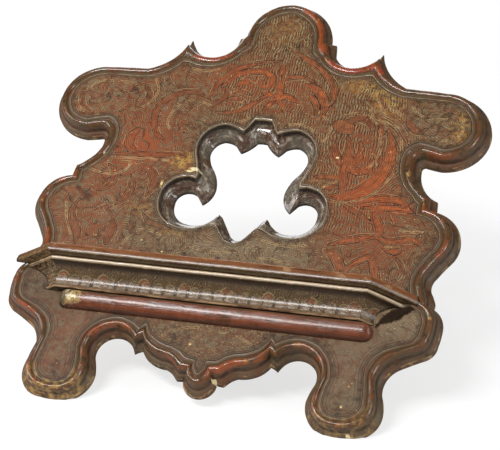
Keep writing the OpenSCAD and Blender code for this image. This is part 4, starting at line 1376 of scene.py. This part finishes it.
@dataclass
class ReadingPanel:
    """Carved board: moulded edge, painted field, scooped piercing and bare back."""

    thickness: float = 20.0
    rim: float = 4.0
    lip: float = 2.5
    finer: int = 3
    spacing: float = 1.55
    lattice_x: Tuple[float, float] = (-216.0, 216.0)
    lattice_y: Tuple[float, float] = (-205.0, 262.0)
    swell: Waviness = Waviness(0.28, 34, 1.0)
    edge_facets: Waviness = Waviness(0.14, 11, 4.0)
    scoop_facets: Waviness = Waviness(0.32, 11, 4.0)
    edge_profile: Tuple[Tuple[float, float], ...] = (
        (0, 1), (0.03, 1), (0.045, 0.972), (0.058, 0.966), (0.072, 0.978), (0.09, 0.995),
        (0.14, 0.988), (0.19, 0.965), (0.23, 0.925), (0.255, 0.885), (0.275, 0.87), (0.3, 0.905),
        (0.33, 0.955), (0.37, 0.99), (0.42, 1.008), (0.47, 1.008), (0.52, 0.99), (0.57, 0.945),
        (0.61, 0.88), (0.645, 0.79), (0.67, 0.695), (0.688, 0.585), (0.702, 0.47), (0.718, 0.37),
        (0.74, 0.3), (0.77, 0.262), (0.81, 0.24), (0.85, 0.21), (0.89, 0.165), (0.92, 0.125),
        (0.95, 0.085), (0.98, 0.03), (1, -0.04),
    )
    hole_profile: Tuple[Tuple[float, float], ...] = (
        (0, 1), (0.02, 1), (0.034, 0.968), (0.048, 0.965), (0.064, 0.985), (0.09, 1.004),
        (0.14, 1.0), (0.18, 0.965), (0.2, 0.9), (0.22, 0.8), (0.25, 0.7), (0.29, 0.6),
        (0.34, 0.52), (0.4, 0.47), (0.46, 0.44), (0.52, 0.415), (0.58, 0.375), (0.65, 0.31),
        (0.72, 0.235), (0.8, 0.155), (0.88, 0.085), (0.94, 0.035), (0.985, 0), (1, -0.05),
    )
    ornament: Ornament = field(default_factory=Ornament)

    def strip(self, shape: Shape, inner: Array, outer: Array,
              profile: Sequence[Tuple[float, float]], low: float, zone: Zone,
              flip: bool) -> Tuple[int, int]:
        """Carries a profile round two matching outlines.

        A row at share t of the profile lies at inner (1 - t) + outer t, at the height
        low + (thickness - low) d, where d is the profile's depth share.

        Args:
            shape: the shape that is added to.
            inner: outline next to the field.
            outer: outline of the free edge.
            profile: pairs of share and depth share.
            low: height of the free edge.
            zone: zone of the faces.
            flip: turns the faces over.

        Returns:
            Numbers of the first vertex of the strip's first row and of its last row.
        """
        shares, depths = np.array(profile).T[:, :, None, None]
        count = len(inner)
        flat = inner[None] * (1 - shares) + outer[None] * shares
        height = np.broadcast_to(low + (self.thickness - low) * depths, (*flat.shape[:2], 1))
        points = np.concatenate([flat, height], 2).reshape(-1, 3)
        share = np.repeat(shares, count)
        free = np.clip((share - 0.1) / 0.2, 0, 1) * np.clip((1 - share) / 0.1, 0, 1)
        facets = self.scoop_facets if zone is Zone.SCOOP else self.edge_facets
        points[:, 2] += free * (self.swell.at(points) + facets.at(points))
        points = np.vstack([points, np.hstack([outer, np.zeros((count, 1))])])
        points = SLOPE.keep_above_table(points)
        first = shape.add_points(
            points, share=np.concatenate([share, np.ones(count)]),
            chip=self.ornament.chipped(points[:, :2]),
            way=np.tile(self.way_round(outer), len(shares) + 1))
        shape.add_tube(first, len(shares) + 1, count, zone.value, flip)
        return first, first + count * len(shares)

    def way_round(self, loop: Array) -> Array:
        """Distance along an outline from its top middle, counted down both halves."""
        length = np.sqrt(((np.roll(loop, -1, 0) - loop) ** 2).sum(1))
        there = np.concatenate([[0.0], np.cumsum(length)[:-1]])
        return np.minimum(there, length.sum() - there)

    def lattice(self, edge: Array, hole: Array) -> Tuple[Array, Array]:
        """Even triangular lattice inside the field, with its distance to the borders."""
        clearance = 0.55 * self.spacing
        rows = np.arange(*self.lattice_y, self.spacing * math.sqrt(3) / 2)
        x, y = np.meshgrid(np.arange(*self.lattice_x, self.spacing), rows)
        x = x + np.where(np.arange(len(rows)) % 2, self.spacing / 2, 0)[:, None]
        points = np.stack([x, y], -1).reshape(-1, 2)
        off_edge, in_edge = distance_to_loop(points, edge)
        points, off_edge = points[in_edge], off_edge[in_edge]
        off_hole, in_hole = distance_to_loop(points, hole)
        off = np.minimum(off_edge, off_hole)
        kept = ~in_hole & (off > clearance)
        return points[kept], off[kept]

    def cap(self, edge: Array, hole: Array, inner: Array) -> Array:
        """Triangles that fill the flat between two outlines.

        The outlines are fixed edges of a Delaunay triangulation with the inner points. A triangle
        with an inner point is in the flat, and any other is when its middle is.

        Args:
            edge: outer outline.
            hole: outline of the piercing.
            inner: points between them.

        Returns:
            Corner numbers in the order edge, hole, inner, turning left.
        """
        points = np.vstack([edge, hole, inner])
        rim = len(edge) + len(hole)
        sides = [(first + i, first + (i + 1) % count)
                 for first, count in ((0, len(edge)), (len(edge), len(hole)))
                 for i in range(count)]
        result = delaunay_2d_cdt([Vector(p) for p in points.tolist()], sides, [], 0, 1e-6)
        origin = np.array([o[0] if o else -1 for o in result[3]])
        triangles = origin[np.array(result[2])]
        triangles = triangles[(triangles >= 0).all(1)]
        only_rim = (triangles < rim).all(1)
        middle = points[triangles[only_rim]].mean(1)
        in_flat = distance_to_loop(middle, edge)[1] & ~distance_to_loop(middle, hole)[1]
        kept = np.ones(len(triangles), bool)
        kept[np.flatnonzero(only_rim)[~in_flat]] = False
        return triangles[kept]

    def build(self) -> bpy.types.Object:
        """Builds the whole board as one closed mesh with four finishes."""
        both = (*chains(EDGE_ROWS, EDGE_ENDS), *chains(HOLE_ROWS, HOLE_ENDS))
        outer_loop, border_loop, open_loop, scoop_loop = (c.loop(self.finer) for c in both)
        shape = Shape()
        edge_first, edge_back = self.strip(
            shape, border_loop, outer_loop, self.edge_profile, self.rim, Zone.EDGE, True)
        hole_first, hole_back = self.strip(
            shape, scoop_loop, open_loop, self.hole_profile, self.lip, Zone.SCOOP, False)
        inner, off = self.lattice(border_loop, scoop_loop)
        ground = np.hstack([inner, np.full((len(inner), 1), self.thickness)])
        inner_first = shape.add_points(ground, border=off)
        numbers = np.concatenate([
            edge_first + np.arange(len(border_loop)), hole_first + np.arange(len(scoop_loop)),
            inner_first + np.arange(len(inner))])
        shape.add_faces(numbers[self.cap(border_loop, scoop_loop, inner)], Zone.FIELD.value)
        flat = shape.points[numbers][:, :2]
        shape.set_marks(numbers, chip=self.ornament.chipped(flat), **self.ornament.drawn(flat),
                        **self.ornament.washed(flat))
        rear_outer = shape.points[edge_back:edge_back + len(outer_loop), :2]
        rear = np.concatenate([
            edge_back + np.arange(len(outer_loop)), hole_back + np.arange(len(open_loop))])
        back = self.cap(rear_outer, open_loop, np.zeros((0, 2)))
        shape.add_faces(rear[back][:, ::-1], Zone.BACK.value)
        piece = shape.build("panel_lacquered", [
            FieldLacquer().material("field_lacquer"), EdgeLacquer().material("edge_lacquer"),
            ScoopLacquer().material("scoop_lacquer"),
            BareWood(grain=Grain.ACROSS, stain=0.6).material("panel_back_wood")])
        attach(piece, "reading_panel")
        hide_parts("panel")
        return piece


@dataclass
class LedgeMoulding:
    """Ledge moulding: a long front run and two canted returns with the same section."""

    top: float = -68.0
    half: float = 162.0
    out: float = 33.0
    field_height: float = 20.0
    shift: float = -9.5
    cant: float = 36.7
    turn: float = 0.3
    height: float = 37.5
    thickness: float = 14.0
    cove_top: float = 15.0
    cove_run: float = 17.6
    cove_rise: float = 13.4
    cove_end: float = 36.0
    front_steps: int = 110
    return_steps: int = 14
    bow_out: Waviness = Waviness(0.16, 55, 2.0)
    bow_up: Waviness = Waviness(0.12, 80, 3.0)

    def arc(self, drop: float, back: float, radius: float, start: float, end: float,
            steps: int) -> Array:
        """Arc of the section: drop - r cos a, back - r sin a, for a from start to end, degrees."""
        a = np.radians(np.linspace(start, end, steps))
        return np.stack([drop - radius * np.cos(a), back - radius * np.sin(a)], 1)

    def section(self) -> Array:
        """Closed section as rows of drop below the top and distance back from the front."""
        run, rise = self.cove_run, self.cove_rise
        cove = (run * run + rise * rise) / (2 * rise)
        low = self.cove_top + run
        last = math.degrees(math.asin((self.cove_end - self.cove_top - run) / cove))
        parts = [
            [[0.0, self.thickness], [0.0, 10.0], [0.0, 5.0]],
            self.arc(3.4, 3.6, 3.4, 0, 60, 8),
            self.arc(6.3, 8.0, 8.0, 72, 116, 9),
            [[10.0, 1.9], [10.15, 3.4], [10.25, 5.0], [10.35, 6.6], [10.45, 8.6],
             [10.6, 10.3], [10.9, 10.6], [11.15, 10.5]],
            self.arc(12.0, 9.2, 0.9, 0, 88, 4),
            self.arc(11.37, 15.26, 7.0, 96, 116, 6),
            self.arc(14.2, 9.7, 0.8, 122, 180, 4),
            self.arc(low, 24 - cove, cove, -math.degrees(math.acos(run / cove)), -90 - last, 22),
            [[36.05, 23.2], [36.15, 23.0], [36.7, 23.0], [37.2, 23.35], [self.height, 24.0],
             [self.height, 28.5], [self.height, self.out],
             [self.height / 2, (self.out + self.thickness) / 2]],
        ]
        return np.vstack(parts)

    def sweep(self, name: str, start: Array, end: Array, place: Callable[[Array, Array], Array],
              steps: int, material: bpy.types.Material, flip: bool = False,
              meets_field: bool = True) -> bpy.types.Object:
        """Carries the section along a run whose ends differ from point to point.

        Args:
            name: the piece's name.
            start: where the run starts for each point of the section.
            end: where it ends.
            place: turns (run, section rows) into panel points.
            steps: number of stretches.
            material: its finish.
            flip: turns the faces over.
            meets_field: whether the run ends at the field, towards which its finish is darkened
                with painted shade.

        Returns:
            The closed mesh.
        """
        far_off = 100.0
        section = self.section()
        count = len(section)
        t = np.linspace(0, 1, steps + 1)[:, None]
        run = start * (1 - t) + end * t
        rows = np.broadcast_to(section, (steps + 1, count, 2))
        points = place(run.reshape(-1), rows.reshape(-1, 2))
        drop, back = rows[..., 0].reshape(-1), rows[..., 1].reshape(-1)
        shown = np.clip((24.5 - back) / 2, 0, 1) * np.clip(drop, 0, 1)
        points[:, 2] += shown * self.bow_out.at(points)
        points[:, 1] += shown * self.bow_up.at(points)
        points = turned(points, self.shift, self.top, self.turn)
        shape = Shape()
        rest = (end - run).reshape(-1) if meets_field else far_off
        first = shape.add_points(points, drop=drop, run=run.reshape(-1), back=back, rest=rest)
        shape.add_tube(first, steps + 1, count, 0, flip)
        near = list(range(first, first + count))
        far = [i + count * steps for i in near]
        shape.faces.extend([near if flip else near[::-1], far[::-1] if flip else far])
        shape.zones.extend([0, 0])
        return shape.build(name, [material], crease=32)

    def build(self) -> List[bpy.types.Object]:
        """Builds the front run and both returns.

        With c the cant, the mitre keeps x < half - b tan(c / 2) on the front run, where b is the
        distance back. On a return the run r starts at b tan(c / 2), ends where it meets the field
        at (out - b cos c) / sin c, and lies at x = half + r cos c - b sin c and
        z = front - r sin c - b cos c.
        """
        section = self.section()
        back = section[:, 1]
        c = math.radians(self.cant)
        front = self.field_height + self.out
        mitre = back * math.tan(c / 2)
        material = MouldingLacquer().material("moulding_lacquer")

        def along_front(run: Array, rows: Array) -> Array:
            """Places the front run."""
            return np.stack([run + self.shift, self.top - rows[:, 0], front - rows[:, 1]], 1)

        def along_return(side: float) -> Callable[[Array, Array], Array]:
            """Placing of the return on one side, 1 for the right."""
            def inner(run: Array, rows: Array) -> Array:
                """Places one return."""
                x = self.half + run * math.cos(c) - rows[:, 1] * math.sin(c)
                z = front - run * math.sin(c) - rows[:, 1] * math.cos(c)
                return np.stack([side * x + self.shift, self.top - rows[:, 0], z], 1)
            return inner

        ends = np.maximum((self.out - back * math.cos(c)) / math.sin(c), mitre)
        pieces = [
            self.sweep("ledge_front_moulding", -self.half + mitre, self.half - mitre, along_front,
                       self.front_steps, material, meets_field=False),
            self.sweep("ledge_right_moulding", mitre, ends, along_return(1.0),
                       self.return_steps, material),
            self.sweep("ledge_left_moulding", mitre, ends, along_return(-1.0),
                       self.return_steps, material, flip=True),
        ]
        for piece, node in zip(pieces, ("ledge_front", "ledge_right_return", "ledge_left_return")):
            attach(piece, "reading_panel")
            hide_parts(node)
        return pieces


@dataclass
class LedgeRoll:
    """Half round bar under the ledge, with rounded ends and a chipped left one."""

    ledge_top: float = -68.0
    middle: float = -115.0
    radius: float = 9.0
    half: float = 149.0
    turn: float = 0.3
    field_height: float = 20.0
    arris: float = 0.3
    across: int = 26
    ends: int = 10
    straight: int = 90
    chip_place: Tuple[float, float] = (-147.0, -111.0)
    chip_size: Tuple[float, float] = (12.0, 8.0)
    bow_out: Waviness = Waviness(0.22, 70, 5.0)

    def section(self) -> Array:
        """Section in shares of the radius: upright back, small rounded arris, long rounded front.

        The arris is a quarter circle of a share r about (1 - r, 1 - r). The front is a quarter
        ellipse from (1 - r, 1) down to (-1, 0).
        """
        r = self.arris
        steps = self.across // 2
        turn = np.linspace(0, math.pi / 2, steps)
        corner = np.stack([1 - r + r * np.cos(turn), 1 - r + r * np.sin(turn)], 1)
        u = np.linspace(0, math.pi / 2, self.across - steps + 2)[1:]
        front = np.stack([(1 - r) - (2 - r) * np.sin(u), np.cos(u)], 1)
        return np.vstack([[[1.0, 0.0]], corner, front])

    def build(self) -> bpy.types.Object:
        """Builds the bar: its section shrinks by cos a at the ends, where x = half + r sin a."""
        turn = np.linspace(0, math.pi / 2, self.ends + 1)[1:-1]
        x = np.concatenate([-(self.half + self.radius * np.sin(turn[::-1])),
                            np.linspace(-self.half, self.half, self.straight + 1),
                            self.half + self.radius * np.sin(turn)])
        size = self.radius * np.concatenate([
            np.cos(turn[::-1]), np.ones(self.straight + 1), np.cos(turn)])
        section = self.section()
        y = self.middle + size[:, None] * section[:, 0]
        z = self.field_height + size[:, None] * section[:, 1]
        points = np.stack([np.broadcast_to(x[:, None], y.shape), y, z], -1).reshape(-1, 3)
        around = (points[:, 1] - self.middle) / self.radius
        shown = np.clip((points[:, 2] - self.field_height) / 3, 0, 1)
        points[:, 2] += shown * self.bow_out.at(points)
        chip = 1.5 - np.hypot(*((points[:, :2] - self.chip_place) / self.chip_size).T)
        shape = Shape()
        first = shape.add_points(turned(points, 0.0, self.ledge_top, self.turn),
                                 chip=np.clip(chip, -1, 1), around=around)
        rows, count = len(x), len(section)
        shape.add_tube(first, rows, count, 0, False)
        tip = self.half + self.radius
        poles = np.array([[side * tip, self.middle, self.field_height] for side in (-1, 1)])
        poles = turned(poles, 0.0, self.ledge_top, self.turn)
        left = shape.add_points(poles, chip=np.array([1.0, -1.0]), around=0.0)
        ring = np.arange(count)
        near = np.stack([np.full(count, left), first + (ring + 1) % count, first + ring], 1)
        last = first + (rows - 1) * count
        far = np.stack([np.full(count, left + 1), last + ring, last + (ring + 1) % count], 1)
        shape.add_faces(near, 0)
        shape.add_faces(far, 0)
        piece = shape.build(
            "ledge_roll_lacquered", [RollLacquer().material("roll_lacquer")], crease=60)
        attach(piece, "reading_panel")
        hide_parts("ledge_roll")
        return piece


@dataclass
class KeptNodes:
    """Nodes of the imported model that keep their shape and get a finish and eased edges."""

    nodes: Dict[str, bpy.types.Object]
    ease: float = 0.0007
    weld_reach: float = 0.00001
    sharp_from: float = 40.0

    def dress(self, names: Sequence[str], material: bpy.types.Material, eased: bool) -> None:
        """Gives nodes one material and, where wanted, worn corners.

        Args:
            names: nodes to dress.
            material: their finish.
            eased: whether their sharp edges are rounded.
        """
        for name in names:
            piece = self.nodes[name]
            piece.data.materials.clear()
            piece.data.materials.append(material)
            if eased:
                weld = piece.modifiers.new("weld", "WELD")
                weld.merge_threshold = self.weld_reach
                bevel = piece.modifiers.new("worn_corners", "BEVEL")
                bevel.width = self.ease
                bevel.segments = 2
                bevel.limit_method = "ANGLE"
                bevel.angle_limit = math.radians(self.sharp_from)
            log.info("%s dressed", name)

    def build(self) -> None:
        """Dresses the ledge core, the battens, the folding frame and the ironwork."""
        across = BareWood(grain=Grain.ACROSS).material("frame_wood_across")
        leg = BareWood(grain=Grain.DOWN_LEG).material("frame_wood_legs")
        peg = BareWood(light=srgb(168, 130, 88), mid=srgb(132, 96, 62),
                       stain=0.1).material("peg_wood")
        iron = ForgedIron().material("forged_iron")
        nails = ForgedIron(base=srgb(72, 66, 62), bright=srgb(136, 130, 124)).material("nail_iron")
        core = BareWood(light=srgb(112, 74, 50), mid=srgb(86, 56, 40), dark=srgb(48, 34, 26),
                        stain=0.5).material("core_lacquer")
        self.dress(["ledge_core"], core, True)
        self.dress(["hinge_batten", "low_batten", "top_rail", "foot_rail"], across, True)
        self.dress(["left_leg", "right_leg"], leg, True)
        self.dress(["frame_pegs"], peg, False)
        self.dress(["left_fixed_leaf", "right_fixed_leaf", "left_moving_leaf", "right_moving_leaf",
                    "left_hinge_pin", "right_hinge_pin"], iron, False)
        self.dress(["hinge_batten_nails", "low_batten_nails", "fixed_leaf_nails",
                    "moving_leaf_nails"], nails, False)


# ---------------------------------------------------------------- stage


@dataclass
class Studio:
    """Camera at the photograph's angle, plain pale floor and soft lamps."""

    lens: float = 118.8
    distance: float = 1666.976
    lift_angle: float = 0.37076
    side_angle: float = 0.27737
    aside: float = -8.67668
    above: float = -2.37063
    soft: float = 0.34
    mirrored: float = 0.05
    floor_half: float = 9.0
    floor_glow: float = 1.1
    seen_glow: float = 0.62
    mirrored_dim: float = 0.8
    lamps: Tuple[Tuple[Any, ...], ...] = (
        ("key", (-0.62, -1.3, 1.75), (1.2, 0.3), 36.0),
        ("side", (-1.8, -0.7, 1.2), (0.9, 0.9), 12.0),
        ("fill", (1.7, -0.5, 0.9), (0.5, 1.0), 9.0),
        ("rim", (-0.9, 2.0, 1.0), (1.8, 1.8), 19.0),
    )

    def camera(self) -> None:
        """Places the camera.

        With e the height angle and p the side angle, it looks along (-sin p cos e, cos p cos e,
        -sin e) from the panel centre's frame, distance back from it, moved by aside and above.
        """
        e, p = self.lift_angle, self.side_angle
        view = np.array([-math.sin(p) * math.cos(e), math.cos(p) * math.cos(e), -math.sin(e)])
        right = np.array([math.cos(p), math.sin(p), 0.0])
        up = np.cross(right, view)
        centre = -self.aside * right - self.above * up - self.distance * view
        place = (centre + [0.0, SLOPE.shift, SLOPE.lift]) / 1000
        data = bpy.data.cameras.new("camera")
        data.lens = self.lens
        data.sensor_width = 36.0
        data.sensor_fit = "HORIZONTAL"
        data.clip_start, data.clip_end = 0.05, 50.0
        camera = linked("camera", data)
        turn = np.stack([right, up, -view], 1)
        camera.matrix_world = Matrix.Translation(Vector(place)) @ Matrix(turn.tolist()).to_4x4()
        bpy.context.scene.camera = camera

    def lamp(self, name: str, place: Tuple[float, float, float], size: Tuple[float, float],
             power: float) -> None:
        """Adds a soft lamp aimed at the object.

        Args:
            name: the lamp's name.
            place: where it stands, in metres.
            size: its width and height in metres.
            power: its power in watts.
        """
        target = Vector((0, 0, 0.15))
        data = bpy.data.lights.new(name, "AREA")
        data.shape = "RECTANGLE"
        data.size, data.size_y = size
        data.energy = power
        lamp = linked(name, data)
        lamp.location = place
        lamp.rotation_euler = (target - Vector(place)).to_track_quat("-Z", "Y").to_euler()

    def world(self) -> None:
        """Lights softly from all round, shows white to the camera and stays dim in reflections."""
        world = bpy.data.worlds.new("studio")
        bpy.context.scene.world = world
        g = Graph(world)
        soft, mirrored, shown = (
            g.add("ShaderNodeBackground", {}, {"Color": (1.0, 1.0, 1.0), "Strength": strength})
            for strength in (self.soft, self.mirrored, 1.0))
        straight = g.ray("Camera").most(g.ray("Transmission"))
        unseen = g.mixed(g.ray("Glossy"), soft, mirrored)
        g.add("ShaderNodeOutputWorld", {}, {"Surface": g.mixed(straight, unseen, shown)})

    def floor(self) -> None:
        """Pale floor that keeps the shadow: whiter to the camera, dimmer in reflections."""
        g = Graph.of_material("floor_white")
        matt = g.add("ShaderNodeBsdfDiffuse", {}, {"Color": (0.9, 0.9, 0.9)})
        dim = g.add("ShaderNodeBsdfDiffuse", {}, {"Color": (0.12, 0.11, 0.1)})
        glow = g.add("ShaderNodeEmission", {},
                     {"Color": (1.0, 1.0, 1.0), "Strength": self.floor_glow})
        base = g.mixed(g.ray("Glossy") * self.mirrored_dim, matt, dim)
        mixed = g.mixed(g.ray("Camera") * self.seen_glow, base, glow)
        g.add("ShaderNodeOutputMaterial", {}, {"Surface": mixed})
        mesh = bpy.data.meshes.new("floor")
        r = self.floor_half
        mesh.from_pydata([(-r, -r, 0), (r, -r, 0), (r, r, 0), (-r, r, 0)], [], [(0, 1, 2, 3)])
        mesh.materials.append(g.owner)
        floor = linked("floor", mesh)

    def build(self) -> None:
        """Sets up the view, the floor, the world and the lamps."""
        self.camera()
        self.floor()
        self.world()
        for lamp in self.lamps:
            self.lamp(*lamp)
        bpy.context.scene.view_settings.view_transform = "Standard"


def main() -> None:
    """Builds every piece in order."""
    logging.basicConfig(level=logging.INFO, format="%(name)s: %(message)s")
    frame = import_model()
    Studio().build()
    ReadingPanel().build()
    LedgeMoulding().build()
    LedgeRoll().build()
    KeptNodes(frame["nodes"]).build()
    bpy.context.view_layer.update()


if __name__ == "__main__":
    main()
